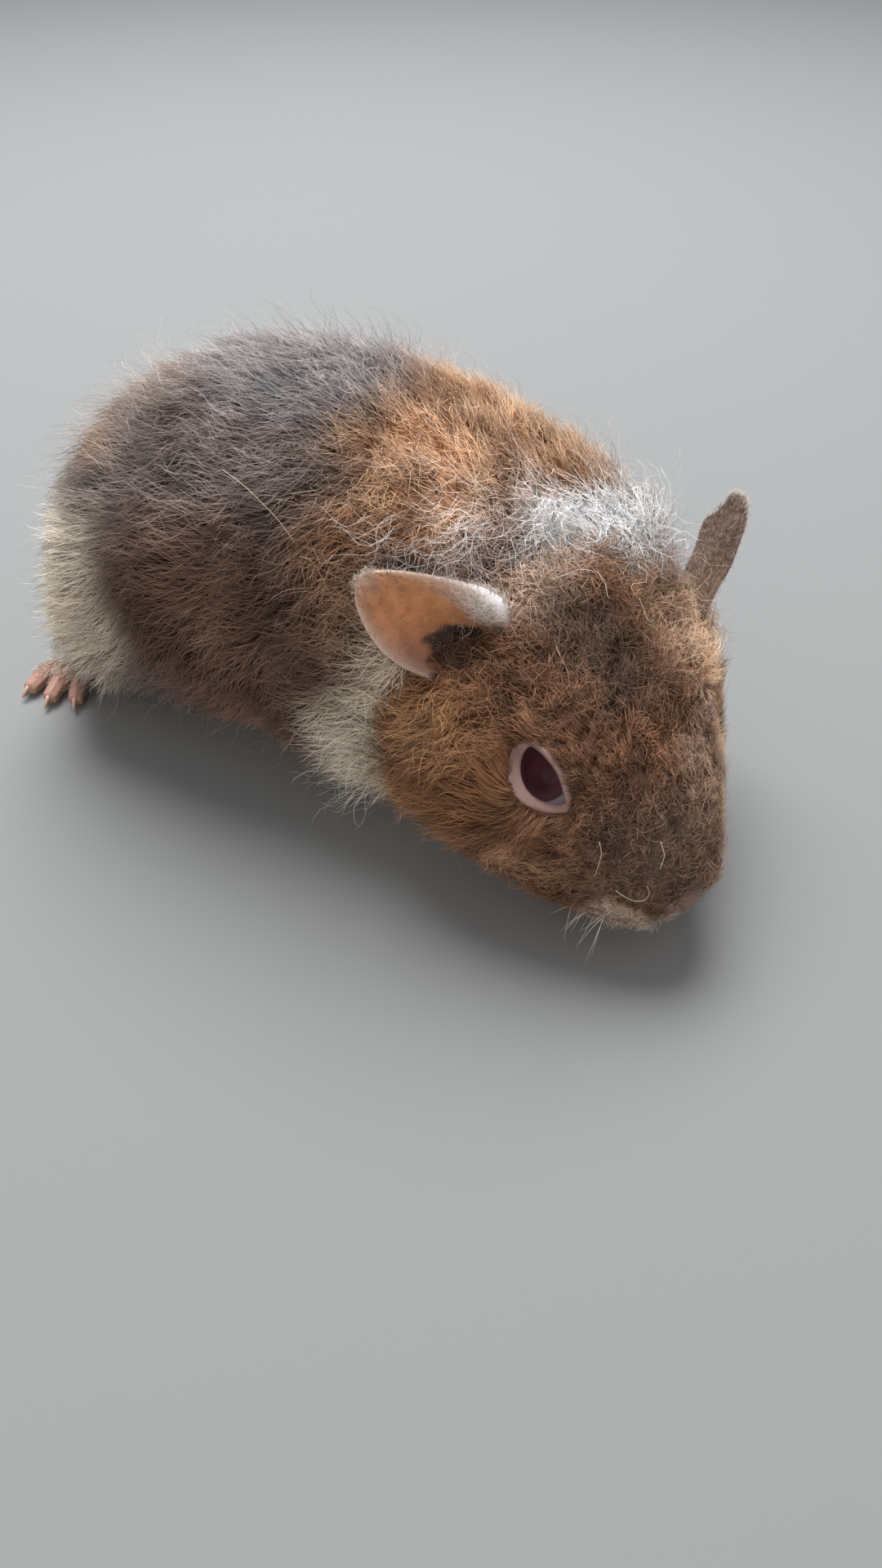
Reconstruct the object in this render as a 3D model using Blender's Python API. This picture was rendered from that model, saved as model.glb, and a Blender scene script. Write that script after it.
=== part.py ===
"""A young teddy guinea pig, crouched, with its head low and turned to its right.

It faces +X, its left is +Y, and its soles lie on the floor at z = 0. Sizes in
the tables are millimetres. Each form is a row table: one row for each section,
from the tail or nape end to the nose end, out to the tips of the coat.
"""
import math
import random

import bmesh
import bpy
import numpy as np
from mathutils import Matrix, Vector

MM = 0.001
GAP = 0.3
CORE_SHARE = 0.5
SEED = 7

# along, side, low, high, half width, coat depth, how square the lower half is
TRUNK = (
    (-66.5, 5.5, 10.5, 36.0, 11.0, 6.0, 2.2),
    (-61.5, 7.2, 3.4, 51.5, 22.0, 7.0, 2.3),
    (-49.0, 8.6, 2.0, 64.5, 27.8, 8.0, 2.4),
    (-32.8, 8.0, 1.6, 72.3, 31.8, 8.0, 2.3),
    (-15.0, 7.2, 1.6, 75.0, 33.5, 8.0, 2.6),
    (0.0, 4.6, 1.6, 74.0, 35.0, 8.0, 3.2),
    (13.0, 4.6, 2.0, 70.0, 34.2, 7.5, 3.5),
    (25.0, 7.2, 4.0, 64.5, 29.0, 7.0, 3.0),
    (36.5, 9.0, 10.0, 59.0, 22.5, 6.5, 2.5),
    (48.0, 9.0, 18.0, 52.0, 15.5, 6.0, 2.2),
)
HEAD = (
    (-2.0, 1.8, -12.3, 12.5, 15.0, 4.0, 2.2),
    (1.5, 2.4, -19.8, 19.0, 22.6, 5.0, 2.2),
    (10.0, 2.6, -26.0, 22.6, 29.2, 6.0, 2.2),
    (20.0, 2.2, -27.4, 21.9, 32.2, 5.5, 2.2),
    (31.0, 1.6, -25.8, 18.8, 29.4, 5.0, 2.2),
    (41.0, 0.7, -22.8, 14.5, 23.0, 4.0, 2.2),
    (50.0, 0.2, -19.4, 10.6, 16.8, 3.0, 2.2),
    (57.0, 0.0, -15.8, 7.2, 11.8, 2.0, 2.2),
    (61.2, 0.0, -9.8, 4.1, 6.8, 1.5, 2.2),
)
SECTION_POWER = 2.2
TRUNK_GRID = (12, 16)
HEAD_GRID = (14, 18)
END_BULGE = 0.10

HEAD_PLACE = (19.1, -2.3, 36.1)
HEAD_TURN = (-43.5, -19.8, -6.7)

# where the trunk is parted: a point's x and the cut's turn about the upright
HIND_CUT = (-28.0, 0.0)
NECK_CUT = (18.0, -22.0)

EYE_RADIUS = 5.6
EYE_CENTRE = (35.9, 13.5, 6.2)
EYE_AXIS = (0.25, 0.86, 0.42)
EYE_ALONG = (1.0, 0.0, -0.18)
EYE_OPENING = (4.9, 3.2)
EYE_HOLLOW = (8.2, 6.6, 5.0)
EYE_HOLLOW_OUT = 8.2
EYE_GRID = (18, 11)
HOLLOW_GRID = (14, 8)
# the lid's rim: its steps round the opening, how far the front corner is pinched, and
# its section as the distance out from the opening and the height over the ball
LID_STEPS = 18
LID_PINCH = 0.25
LID_PROFILE = ((0.0, 0.2), (0.5, 0.6), (1.5, 0.6), (2.8, -0.9), (1.1, -2.4))
# the ball falls away too fast for the rim beyond the first, and never below the second
LID_MOST_SQUARE = 28.0
LID_LEAST_SQUARE = 0.5

# each ear: its root, the way it points, the way its cup opens, and its length
EARS = {
    "right": ((14.0, -15.5, 9.5), (-0.46, -0.74, 0.48), (0.85, -0.45, 0.30), 23.4),
    "left": ((19.5, 22.5, 12.0), (-0.33, 0.53, 0.78), (0.43, 0.82, -0.37), 21.6),
}
# along the ear from 0 to 1, then how far its upper and its lower edge reach
EAR_EDGES = {
    "right": (
        (0.00, 6.0, 5.6), (0.20, 9.0, 8.0), (0.40, 8.8, 8.4), (0.57, 7.4, 7.8),
        (0.72, 5.6, 6.6), (0.84, 3.9, 5.2), (0.93, 2.4, 3.6), (1.00, 0.9, 1.3),
    ),
    "left": (
        (0.00, 4.6, 4.6), (0.35, 4.8, 4.7), (0.60, 4.9, 6.0), (0.74, 4.5, 6.1),
        (0.85, 4.0, 3.2), (0.94, 2.8, 2.2), (1.00, 0.8, 1.0),
    ),
}
# rows along an ear and points across one face, and how the rows crowd towards the tip
EAR_GRID = (10, 8)
EAR_CROWDING = 1.3
# thickness: at the middle, then how it changes from the root to the tip and at the edges
EAR_THICK = 1.1
EAR_ROOT_THICK = 1.25
EAR_TIP_THINNER = 0.5
EAR_EDGE_THINNER = 0.25
# the cup's half turn, how much more it closes at the root, its depth, and the tip's bend
EAR_CUP = 0.55
EAR_ROOT_CUP = 1.2
EAR_CUP_DEPTH = 0.8
EAR_BEND = 1.6

NOSE_CENTRE = (58.8, 0.0, -2.6)
NOSE_SIZE = (2.8, 4.1, 3.3)
NOSE_GRID = (12, 8)
NOSTRIL = (1.0, 1.0, 1.6)
NOSTRIL_GRID = (10, 6)
NOSTRIL_PLACE = (61.2, 2.0, -2.2)
# which way the left nostril opens, and which way its slit runs
NOSTRIL_OPENS = (1.0, 0.35, 0.1)
NOSTRIL_RUNS = (0.0, 0.6, 0.8)
MOUTH_RADII = (0.35, 0.75, 0.75, 0.75)
MOUTH_LINE = ((51.5, 9.4, -12.4), (56.5, 6.6, -12.4), (59.6, 2.8, -11.2), (60.4, 0.0, -10.6))
LIP_GRID = (10, 6)
UPPER_LIP = (56.4, 3.4, -8.8)
UPPER_LIP_SIZE = (4.2, 3.7, 2.6)
LOWER_LIP = (53.6, 0.0, -14.4)
LOWER_LIP_SIZE = (4.6, 4.4, 2.6)

# each kind of foot: its heel and turn on the right and the left, its length, width
# and height, and its toes' number, length, radius, spread and turn from the sole
FORE_FOOT = {
    "root": ((8.0, -7.0), (18.0, 21.0)), "turn": (-25.0, 2.0), "size": (15.0, 8.0, 4.6),
    "toes": 4, "toe_length": 5.5, "toe_radius": 1.4, "spread": 0.9, "toe_turn": (0.0, 0.0),
}
HIND_FOOT = {
    "root": ((-68.5, 17.5), (-42.0, 24.0)), "turn": (-101.0, 12.0), "size": (25.0, 8.6, 5.0),
    "toes": 3, "toe_length": 8.0, "toe_radius": 1.85, "spread": 0.5, "toe_turn": (0.21, 0.0),
}
# along the sole, its half width and its height, as shares of the foot's own
SOLE_SECTIONS = ((0.0, 0.385, 0.7), (0.12, 0.604, 0.958), (0.35, 0.7075, 0.8775), (0.65, 0.8425, 0.7725),
                 (0.9, 0.955, 0.685), (1.0, 0.7, 0.455))
SOLE_SIDES = 12
# the sole's section: how high its middle is and how far it swings from there, as
# shares of its height, and how far its flat underside is sunk before it is levelled
SOLE_MIDDLE = 0.45
SOLE_SWING = 0.55
SOLE_SUNK = 0.2
# how far the sole's two ends stand out, and how high they are as shares of its height
SOLE_END = 0.6
HEEL_RISE = 0.3
BALL_RISE = 0.25
# the toes: how far they reach into the sole, the share of its width their roots span,
# how much shorter the outer ones are, and how they arch
TOE_OVERLAP = 2.0
TOE_ROOTS = 0.78
OUTER_TOE = 0.35
OUTER_TOE_POWER = 1.5
KNUCKLE_RISE = 0.5
TOE_TIP_DROP = 0.15
TOE_GIRTH = (1.0, 1.05, 0.9)
TOE_SIDES = 6
# a claw starts this far inside the toe's end and this far above its middle
CLAW_OVERLAP = 1.2
CLAW_RISE = 0.35
CLAW_DROP = 0.6
CLAW_RADII = (0.75, 0.3)
CLAW_SIDES = 5
FORE_LEG = (4.4, 11.0)
FORE_LEG_SHIFT = 3.0
FORE_LEG_SIDES = 12
# up the foreleg from 0 to 1, and its width there as a share of its radius
FORE_LEG_RINGS = ((0.0, 0.62), (0.25, 0.66), (0.55, 0.85), (0.85, 1.0), (1.0, 0.8))
# how far its two ends bulge
FORE_LEG_ENDS = (0.3, 0.8)
HAUNCH_GRID = (20, 12)
# the haunch of each side: its middle, its half sizes
HAUNCHES = (((-57.0, 5.5, 15.0), (12.0, 10.5, 12.5)), ((-44.0, 29.0, 16.0), (13.0, 9.5, 13.5)))
FORE_LEG_FOOT = 3.0
CLAW_LENGTH = 2.2

# a lock of the coat from its sunk root to its tip: how far in its middle lies as a
# share of the coat's depth, how far it has drifted along the lie, and its width
LOCK_RINGS = ((0.85, 0.0, 0.9), (0.36, 0.55, 0.92))
LOCK_SIDES = 4
LOCK_THICK = 0.46
LOCK_SUNK = 0.8
# the rows of roots: where the first is, how far apart they are, and how much a root
# strays along and about the form, as shares of the spacing
FIRST_ROW = 0.04
ROW_STEP = 0.87
ALONG_SCATTER = 0.3
ABOUT_SCATTER = 0.2
# a form's usual radius, which turns a distance into an angle, and its least one
USUAL_RADIUS = 30.0
LEAST_RADIUS = 8.0
# how much locks differ in size, how much their fall differs, and the most it may be
TRUNK_LOCK_SIZES = (0.85, 1.12)
HEAD_LOCK_SIZES = (0.85, 1.1)
TRUNK_FALL_SCATTER = 0.25
HEAD_FALL_SCATTER = 0.3
MOST_FALL = 0.95
# for each form: distance between roots, a lock's half width, its drift, and the
# share of that drift that goes down the side
TRUNK_LOCKS = (14.6, 7.6, 14.0, 0.45)
HEAD_LOCKS = (11.0, 5.8, 10.0, 0.35)
# trunk roots this far inside the head's outline still grow, and none grow under the belly
COLLAR_OVERLAP = 4.0
BELLY_SPREAD = 0.32
# locks shrink from here on along the head, and end before the muzzle's tip
MUZZLE_START = 0.55
MUZZLE_END = 0.84
MUZZLE_SHRINK = 0.5
HIDDEN_MARGIN = 1.0
EYE_CLEAR = 9.2

COLOURS = {
    "coat_slate": (0.13, 0.10, 0.09, 1.0),
    "coat_rust": (0.24, 0.11, 0.045, 1.0),
    "coat_ginger": (0.33, 0.15, 0.055, 1.0),
    "coat_white": (0.70, 0.62, 0.50, 1.0),
    "ear_skin": (0.52, 0.26, 0.17, 1.0),
    "nose_skin": (0.42, 0.23, 0.17, 1.0),
    "foot_skin": (0.55, 0.30, 0.22, 1.0),
    "eye_dark": (0.035, 0.008, 0.008, 1.0),
}
ROUGHNESS = {"eye_dark": 0.06, "nose_skin": 0.5}


def clear_scene():
    for item in list(bpy.data.objects):
        bpy.data.objects.remove(item)


def new_collection(name):
    collection = bpy.data.collections.new(name)
    bpy.context.scene.collection.children.link(collection)
    return collection


def material(name):
    found = bpy.data.materials.get(name)
    if found:
        return found
    made = bpy.data.materials.new(name)
    made.use_nodes = True
    shader = made.node_tree.nodes["Principled BSDF"]
    shader.inputs["Base Color"].default_value = COLOURS[name]
    shader.inputs["Roughness"].default_value = ROUGHNESS.get(name, 0.85)
    shader.inputs["Metallic"].default_value = 0.0
    return made


def turn_matrix(yaw, pitch, roll):
    """Turns the head's own axes (forward, left, up) into the body's."""
    upright = Matrix.Rotation(math.radians(yaw), 3, "Z")
    nod = Matrix.Rotation(math.radians(-pitch), 3, "Y")
    lean = Matrix.Rotation(math.radians(roll), 3, "X")
    return np.array(upright @ nod @ lean)


HEAD_AXES = turn_matrix(*HEAD_TURN)


def in_head(points):
    """Head coordinates to body coordinates."""
    return np.atleast_2d(points) @ HEAD_AXES.T + np.array(HEAD_PLACE)


def as_is(points):
    return np.atleast_2d(points).astype(float)


def smooth_row(rows, s):
    """The row at s from 0 to 1, on a Catmull-Rom curve through the table."""
    table = np.array(rows, float)
    place = min(max(s, 0.0), 1.0) * (len(table) - 1)
    i = min(int(place), len(table) - 2)
    t = place - i
    before = table[max(i - 1, 0)]
    start = table[i]
    end = table[i + 1]
    after = table[min(i + 2, len(table) - 1)]
    pull = 2 * before - 5 * start + 4 * end - after
    bend = 3 * start - before - 3 * end + after
    return 0.5 * (2 * start + (end - before) * t + pull * t * t + bend * t ** 3)


def form_section(rows, s, share):
    """The section's row, moved in by that share of the coat's depth."""
    along, side, low, high, half_width, coat, square = smooth_row(rows, s)
    inward = share * coat
    along += inward * math.cos(math.pi * s) ** 3
    return along, side, low + inward, high - inward, max(half_width - inward, 1.0), square


def form_point(rows, s, angle, share):
    """A point of the form at the turn angle about its length, 0 being its left."""
    along, side, low, high, half_width, square = form_section(rows, s, share)
    across = math.cos(angle)
    upward = math.sin(angle)
    power = SECTION_POWER if upward > 0 else square
    y = side + half_width * math.copysign(abs(across) ** (2 / power), across)
    half_height = (high - low) / 2
    z = (high + low) / 2 + half_height * math.copysign(abs(upward) ** (2 / power), upward)
    return np.array((along, y, z))


def inside_form(rows, point, margin):
    """Whether the point is in the form's outline, moved out by the margin."""
    s = np.interp(point[0], [row[0] for row in rows], np.linspace(0, 1, len(rows)))
    along, side, low, high, half_width, square = form_section(rows, s, 0.0)
    if abs(point[0] - along) > 1.0 + margin:
        return False
    power = SECTION_POWER if point[2] > (high + low) / 2 else square
    across = abs(point[1] - side) / (half_width + margin)
    upward = abs(point[2] - (high + low) / 2) / ((high - low) / 2 + margin)
    return across ** power + upward ** power < 1.0


def slopes(rows, s, angle, share):
    """How the point moves with s, and how it moves with the angle."""
    step = 0.01
    here = form_point(rows, s, angle, share)
    ahead = form_point(rows, s + step, angle, share) if s < 0.5 else here
    behind = here if s < 0.5 else form_point(rows, s - step, angle, share)
    turned = form_point(rows, s, angle + step, share)
    return (ahead - behind) / step, (turned - here) / step


def mesh_object(name, vertices, faces, collection):
    mesh = bpy.data.meshes.new(name)
    mesh.from_pydata([Vector(v) * MM for v in vertices], [], faces)
    work = bmesh.new()
    work.from_mesh(mesh)
    bmesh.ops.recalc_face_normals(work, faces=work.faces)
    bmesh.ops.triangulate(work, faces=work.faces)
    work.to_mesh(mesh)
    work.free()
    made = bpy.data.objects.new(name, mesh)
    collection.objects.link(made)
    return made


def loft(name, rings, start_tip, end_tip, collection):
    """A closed form through rings of equal counts, with a point at each end."""
    count = len(rings[0])
    vertices = [point for ring in rings for point in ring]
    faces = []
    for r in range(len(rings) - 1):
        for i in range(count):
            j = (i + 1) % count
            faces.append((r * count + i, r * count + j, (r + 1) * count + j, (r + 1) * count + i))
    start = len(vertices)
    vertices += [start_tip, end_tip]
    last = (len(rings) - 1) * count
    for i in range(count):
        j = (i + 1) % count
        faces.append((start, j, i))
        faces.append((start + 1, last + i, last + j))
    return mesh_object(name, vertices, faces, collection)


def body_form(name, rows, grid, place, share_at, collection):
    """A whole form; share_at(s, angle) is how far in it lies, and below 0 it is grown."""
    ring_count, sides = grid
    rings = []
    for s in np.linspace(0, 1, ring_count):
        angles = np.linspace(0, 2 * math.pi, sides, endpoint=False)
        rings.append(place([form_point(rows, s, angle, share_at(s, angle)) for angle in angles]))
    tips = []
    for end, ring in ((-1, rings[0]), (1, rings[-1])):
        width = np.ptp(ring, axis=0).max()
        forward = place((1, 0, 0))[0] - place((0, 0, 0))[0]
        tips.append(ring.mean(axis=0) + end * forward * width * END_BULGE)
    return loft(name, rings, tips[0], tips[1], collection)


def trunk_share(_s, _angle):
    return CORE_SHARE


def head_share(s, angle):
    """The head's core stands out to its whole outline where the trunk covers it."""
    point = in_head(form_point(HEAD, s, angle, CORE_SHARE))[0]
    return 0.0 if inside_form(TRUNK, point, 0.0) else CORE_SHARE


def head_room(gap, collection):
    share = grown_share(HEAD, gap)
    return body_form("head_room", HEAD, HEAD_GRID, in_head, lambda _s, _angle: share, collection)


def grown_share(rows, gap):
    """The share that moves a form out by the gap."""
    return -gap / np.mean([row[5] for row in rows])


def boolean(target, operation, tool=None, collection=None):
    modifier = target.modifiers.new(operation.title(), "BOOLEAN")
    modifier.operation = operation
    modifier.solver = "MANIFOLD"
    if collection:
        modifier.operand_type = "COLLECTION"
        modifier.collection = collection
    else:
        modifier.object = tool
    graph = bpy.context.evaluated_depsgraph_get()
    mesh = bpy.data.meshes.new_from_object(target.evaluated_get(graph))
    target.modifiers.clear()
    target.data = mesh


def cut(target, tool):
    boolean(target, "DIFFERENCE", tool)
    bpy.data.objects.remove(tool)


def fuse(target, pieces_collection):
    boolean(target, "UNION", collection=pieces_collection)
    for piece in list(pieces_collection.objects):
        bpy.data.objects.remove(piece)


def keep_largest(target):
    """Drops the scraps and inner shells that fusing and cutting leave."""
    work = bmesh.new()
    work.from_mesh(target.data)
    unseen = set(work.faces)
    shells = []
    while unseen:
        shell = {unseen.pop()}
        edge_of = list(shell)
        while edge_of:
            face = edge_of.pop()
            for edge in face.edges:
                for other in edge.link_faces:
                    if other in unseen:
                        unseen.discard(other)
                        shell.add(other)
                        edge_of.append(other)
        shells.append(shell)
    largest = max(shells, key=lambda shell: sum(face.calc_area() for face in shell))
    rest = [face for shell in shells if shell is not largest for face in shell]
    bmesh.ops.delete(work, geom=rest, context="FACES")
    work.to_mesh(target.data)
    work.free()


def slab(point, turn, side, collection):
    """A large block whose one face is upright at the point, behind or ahead of it."""
    size = 400.0
    bpy.ops.mesh.primitive_cube_add(size=size * MM)
    block = bpy.context.object
    direction = np.array((math.cos(math.radians(turn)), math.sin(math.radians(turn)), 0.0))
    centre = np.array((point, 0.0, 0.0)) + side * (size / 2 + GAP / 2) * direction
    spin = Matrix.Rotation(math.radians(turn), 4, "Z")
    block.matrix_world = Matrix.Translation(Vector(centre) * MM) @ spin
    bpy.context.view_layer.update()
    for owner in list(block.users_collection):
        owner.objects.unlink(block)
    collection.objects.link(block)
    return block


def part_by_cuts(name, whole, cuts, collection):
    """A copy of the whole, kept where every cut says, as one closed surface."""
    piece = bpy.data.objects.new(name, whole.data.copy())
    collection.objects.link(piece)
    for (point, turn), side in cuts:
        block = slab(point, turn, side, collection)
        boolean(piece, "INTERSECT", block)
        bpy.data.objects.remove(block)
    keep_largest(piece)
    return piece


def lock(rows, place, s, angle, half_width, drift, fall, collection):
    """A rounded lock that springs from the core and lies back, its tip on the outline."""
    with_s, with_angle = slopes(rows, s, angle, 0.0)
    back = drift * math.sqrt(1 - fall ** 2) / np.linalg.norm(with_s)
    down = -drift * fall * math.cos(angle) / np.linalg.norm(with_angle)

    def middle(inward, share):
        return form_point(rows, max(s - back * share, 0.0), angle + down * share, inward)

    path = [middle(inward, share) for inward, share, _ in LOCK_RINGS] + [middle(0.0, 1.0)]
    outward = np.cross(with_angle, with_s)
    outward *= np.sign(outward.dot(path[-1] - middle(1.0, 1.0))) / np.linalg.norm(outward)
    rings = []
    for i, (_, _, width) in enumerate(LOCK_RINGS):
        frame = axes_from(path[i + 1] - path[i], outward)
        turn = np.linspace(0, 2 * math.pi, LOCK_SIDES, endpoint=False)
        reach = half_width * width
        circle = np.outer(LOCK_THICK * np.cos(turn), frame[:, 0]) + np.outer(np.sin(turn), frame[:, 1])
        rings.append(place(path[i] + reach * circle))
    root = place(path[0] - LOCK_SUNK * outward)[0]
    loft("lock", rings, root, place(path[-1])[0], collection)


def lock_roots(rows, spacing, chance):
    """Roots over the whole form, a spacing apart in staggered rings, each a little off."""
    s = FIRST_ROW
    row = 0
    while s < 1.0:
        with_s, _ = slopes(rows, s, math.pi / 2, 0.0)
        angle = (row % 2) * 0.5 * spacing / USUAL_RADIUS
        full_turn = angle + 2 * math.pi - 0.5 * spacing / USUAL_RADIUS
        while angle < full_turn:
            _, with_angle = slopes(rows, s, angle, 0.0)
            along = chance.uniform(-ALONG_SCATTER, ALONG_SCATTER) * spacing / np.linalg.norm(with_s)
            about = chance.uniform(-ABOUT_SCATTER, ABOUT_SCATTER) * spacing / USUAL_RADIUS
            yield min(max(s + along, 0.0), 1.0), angle + about
            angle += spacing / max(np.linalg.norm(with_angle), LEAST_RADIUS)
        s += ROW_STEP * spacing / np.linalg.norm(with_s)
        row += 1


def trunk_locks(collection):
    spacing, half_width, drift, fall = TRUNK_LOCKS
    chance = random.Random(SEED)
    for s, angle in lock_roots(TRUNK, spacing, chance):
        root = form_point(TRUNK, s, angle, CORE_SHARE)
        under = math.cos(angle - 1.5 * math.pi) > math.cos(BELLY_SPREAD)
        if under or inside_form(HEAD, (root - HEAD_PLACE) @ HEAD_AXES, -COLLAR_OVERLAP):
            continue
        size = chance.uniform(*TRUNK_LOCK_SIZES)
        own_fall = min(fall + chance.uniform(-TRUNK_FALL_SCATTER, TRUNK_FALL_SCATTER), MOST_FALL)
        lock(TRUNK, as_is, s, angle, half_width * size, drift * size, own_fall, collection)


def head_locks(collection):
    spacing, half_width, drift, fall = HEAD_LOCKS
    chance = random.Random(SEED + 1)
    for s, angle in lock_roots(HEAD, spacing, chance):
        root = form_point(HEAD, s, angle, CORE_SHARE)
        near_eye = min(np.linalg.norm(root - mirrored(EYE_CENTRE, side)) for side in (-1, 1))
        hidden = inside_form(TRUNK, in_head(root)[0], HIDDEN_MARGIN)
        if near_eye < EYE_CLEAR or s > MUZZLE_END or hidden:
            continue
        on_muzzle = max(s - MUZZLE_START, 0.0) / (1.0 - MUZZLE_START)
        size = chance.uniform(*HEAD_LOCK_SIZES) * (1.0 - MUZZLE_SHRINK * on_muzzle)
        own_fall = min(fall + chance.uniform(-HEAD_FALL_SCATTER, HEAD_FALL_SCATTER), MOST_FALL)
        lock(HEAD, in_head, s, angle, half_width * size, drift * size, own_fall, collection)


def ellipsoid(name, centre, radii, axes, place, collection, segments=20, rings=12):
    """A ball stretched along three axes; the columns of axes are its own axes."""
    vertices = []
    faces = []
    for r in range(1, rings):
        tilt = math.pi * r / rings
        for i in range(segments):
            turn = 2 * math.pi * i / segments
            ball = (math.sin(tilt) * math.cos(turn), math.sin(tilt) * math.sin(turn), math.cos(tilt))
            vertices.append(np.array(ball))
    rows = [vertices[r * segments:(r + 1) * segments] for r in range(rings - 1)]
    shape = np.array(axes, float) * np.array(radii, float)

    def put(points):
        return place(np.atleast_2d(points) @ shape.T + np.array(centre, float))

    return loft(name, [put(row) for row in rows], put((0, 0, 1))[0], put((0, 0, -1))[0], collection)


def axes_from(outward, along):
    """Columns: along, across and outward, at right angles."""
    out = np.array(outward, float)
    out /= np.linalg.norm(out)
    first = np.array(along, float)
    first -= out * first.dot(out)
    first /= np.linalg.norm(first)
    return np.stack([first, np.cross(out, first), out], axis=1)


# a direction that no bar runs along, and how far a bar's end bulges as a share of its radius
TUBE_SIDEWAYS = (0.31, 0.17, 0.93)
TUBE_END = 0.5


def tube(name, points, radii, place, collection, sides=8):
    """A tapering round bar through the points."""
    path = np.array(points, float)
    rings = []
    for i, point in enumerate(path):
        forward = path[min(i + 1, len(path) - 1)] - path[max(i - 1, 0)]
        frame = axes_from(forward, TUBE_SIDEWAYS)
        turn = np.linspace(0, 2 * math.pi, sides, endpoint=False)
        circle = np.outer(np.cos(turn), frame[:, 0]) + np.outer(np.sin(turn), frame[:, 1])
        rings.append(place(point + radii[i] * circle))
    start_way = (path[0] - path[1]) / np.linalg.norm(path[0] - path[1])
    end_way = (path[-1] - path[-2]) / np.linalg.norm(path[-1] - path[-2])
    first = place(path[0] + TUBE_END * radii[0] * start_way)[0]
    final = place(path[-1] + TUBE_END * radii[-1] * end_way)[0]
    return loft(name, rings, first, final, collection)


def mirrored(values, side):
    """The same place on the left for side 1 and on the right for side -1."""
    return np.array(values, float) * np.array((1, side, 1))


def ear_frame(name):
    """Columns: along the ear, towards its lower edge, and out of its cup."""
    root, along, opening, length = EARS[name]
    length_axis = np.array(along) / np.linalg.norm(along)
    face_axis = np.array(opening) - length_axis * length_axis.dot(opening)
    face_axis /= np.linalg.norm(face_axis)
    lower_axis = np.cross(face_axis, length_axis)
    return np.stack([length_axis, lower_axis if name == "right" else -lower_axis, face_axis], axis=1)


def ear_grid(name, grow):
    """The two faces of an ear: a petal with a cupped blade, as rows of points."""
    frame = ear_frame(name)
    root, length = np.array(EARS[name][0]), EARS[name][3]
    edges = np.array(EAR_EDGES[name])
    stations, columns = EAR_GRID
    front = []
    back = []
    for r in range(stations):
        t = 1.0 - (1.0 - r / (stations - 1)) ** EAR_CROWDING
        upper = np.interp(t, edges[:, 0], edges[:, 1]) + grow
        lower = np.interp(t, edges[:, 0], edges[:, 2]) + grow
        cup = EAR_CUP * (1.0 + EAR_ROOT_CUP * (1 - t) ** 2)
        row_front = []
        row_back = []
        for c in range(columns):
            w = 2 * c / (columns - 1) - 1
            reach = lower if w > 0 else upper
            turn = w * cup
            across = reach * math.sin(turn) / math.sin(cup)
            rise = reach * (1 - math.cos(turn)) * EAR_CUP_DEPTH - EAR_BEND * t * t
            end = grow if t == 1 else 0.0
            centre = root + frame @ np.array((length * t + end, across, rise))
            normal = frame @ np.array((0.0, -math.sin(turn), math.cos(turn)))
            lengthways = EAR_ROOT_THICK - EAR_TIP_THINNER * t
            thick = EAR_THICK * lengthways * (1 - EAR_EDGE_THINNER * w * w) / 2 + grow
            row_front.append(centre + normal * thick)
            row_back.append(centre - normal * thick)
        front.append(row_front)
        back.append(row_back)
    return front, back


def ear(name, ear_name, grow, collection):
    front, back = ear_grid(ear_name, grow)
    rings = [in_head(f + b[::-1]) for f, b in zip(front, back)]
    count = len(rings[0])
    half = count // 2
    vertices = [point for ring in rings for point in ring]
    faces = []
    for r in range(len(rings) - 1):
        for i in range(count):
            j = (i + 1) % count
            a, b, c, d = r * count + i, r * count + j, (r + 1) * count + j, (r + 1) * count + i
            # both faces of the blade are split along the same diagonal
            if i < half:
                faces += [(a, b, c), (a, c, d)]
            else:
                faces += [(a, b, d), (b, c, d)]
    for r in (0, len(rings) - 1):
        for i in range(half - 1):
            a, b = r * count + i, r * count + i + 1
            c, d = r * count + count - 2 - i, r * count + count - 1 - i
            faces += [(a, b, c), (a, c, d)]
    return mesh_object(name, vertices, faces, collection)


def eye_frame(side):
    return axes_from(mirrored(EYE_AXIS, side), EYE_ALONG)


def eye(name, side, grow, collection):
    radius = EYE_RADIUS + grow
    centre = mirrored(EYE_CENTRE, side)
    return ellipsoid(name, centre, (radius,) * 3, eye_frame(side), in_head, collection, *EYE_GRID)


def lid_ring(name, side, collection):
    """A rounded rim that follows the almond opening over the ball of the eye."""
    frame = eye_frame(side)
    centre = mirrored(EYE_CENTRE, side)
    rings = []
    for i in range(LID_STEPS):
        turn = 2 * math.pi * i / LID_STEPS
        along = EYE_OPENING[0] * math.cos(turn)
        pinch = 1.0 - LID_PINCH * max(math.cos(turn), 0.0) ** 2
        across = EYE_OPENING[1] * math.sin(turn) * pinch
        flat = np.array((along, across))
        outward = flat / np.linalg.norm(flat)
        ring = []
        for edge, height in LID_PROFILE:
            spot = flat + outward * edge
            aside = min(spot.dot(spot), LID_MOST_SQUARE)
            on_ball = math.sqrt(max((EYE_RADIUS + GAP + height) ** 2 - aside, LID_LEAST_SQUARE))
            ring.append(centre + frame @ np.array((spot[0], spot[1], on_ball)))
        rings.append(in_head(ring))
    vertices = [point for ring in rings for point in ring]
    faces = []
    sides = len(rings[0])
    for r in range(LID_STEPS):
        q = (r + 1) % LID_STEPS
        for i in range(sides):
            j = (i + 1) % sides
            faces.append((r * sides + i, r * sides + j, q * sides + j, q * sides + i))
    return mesh_object(name, vertices, faces, collection)


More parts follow.
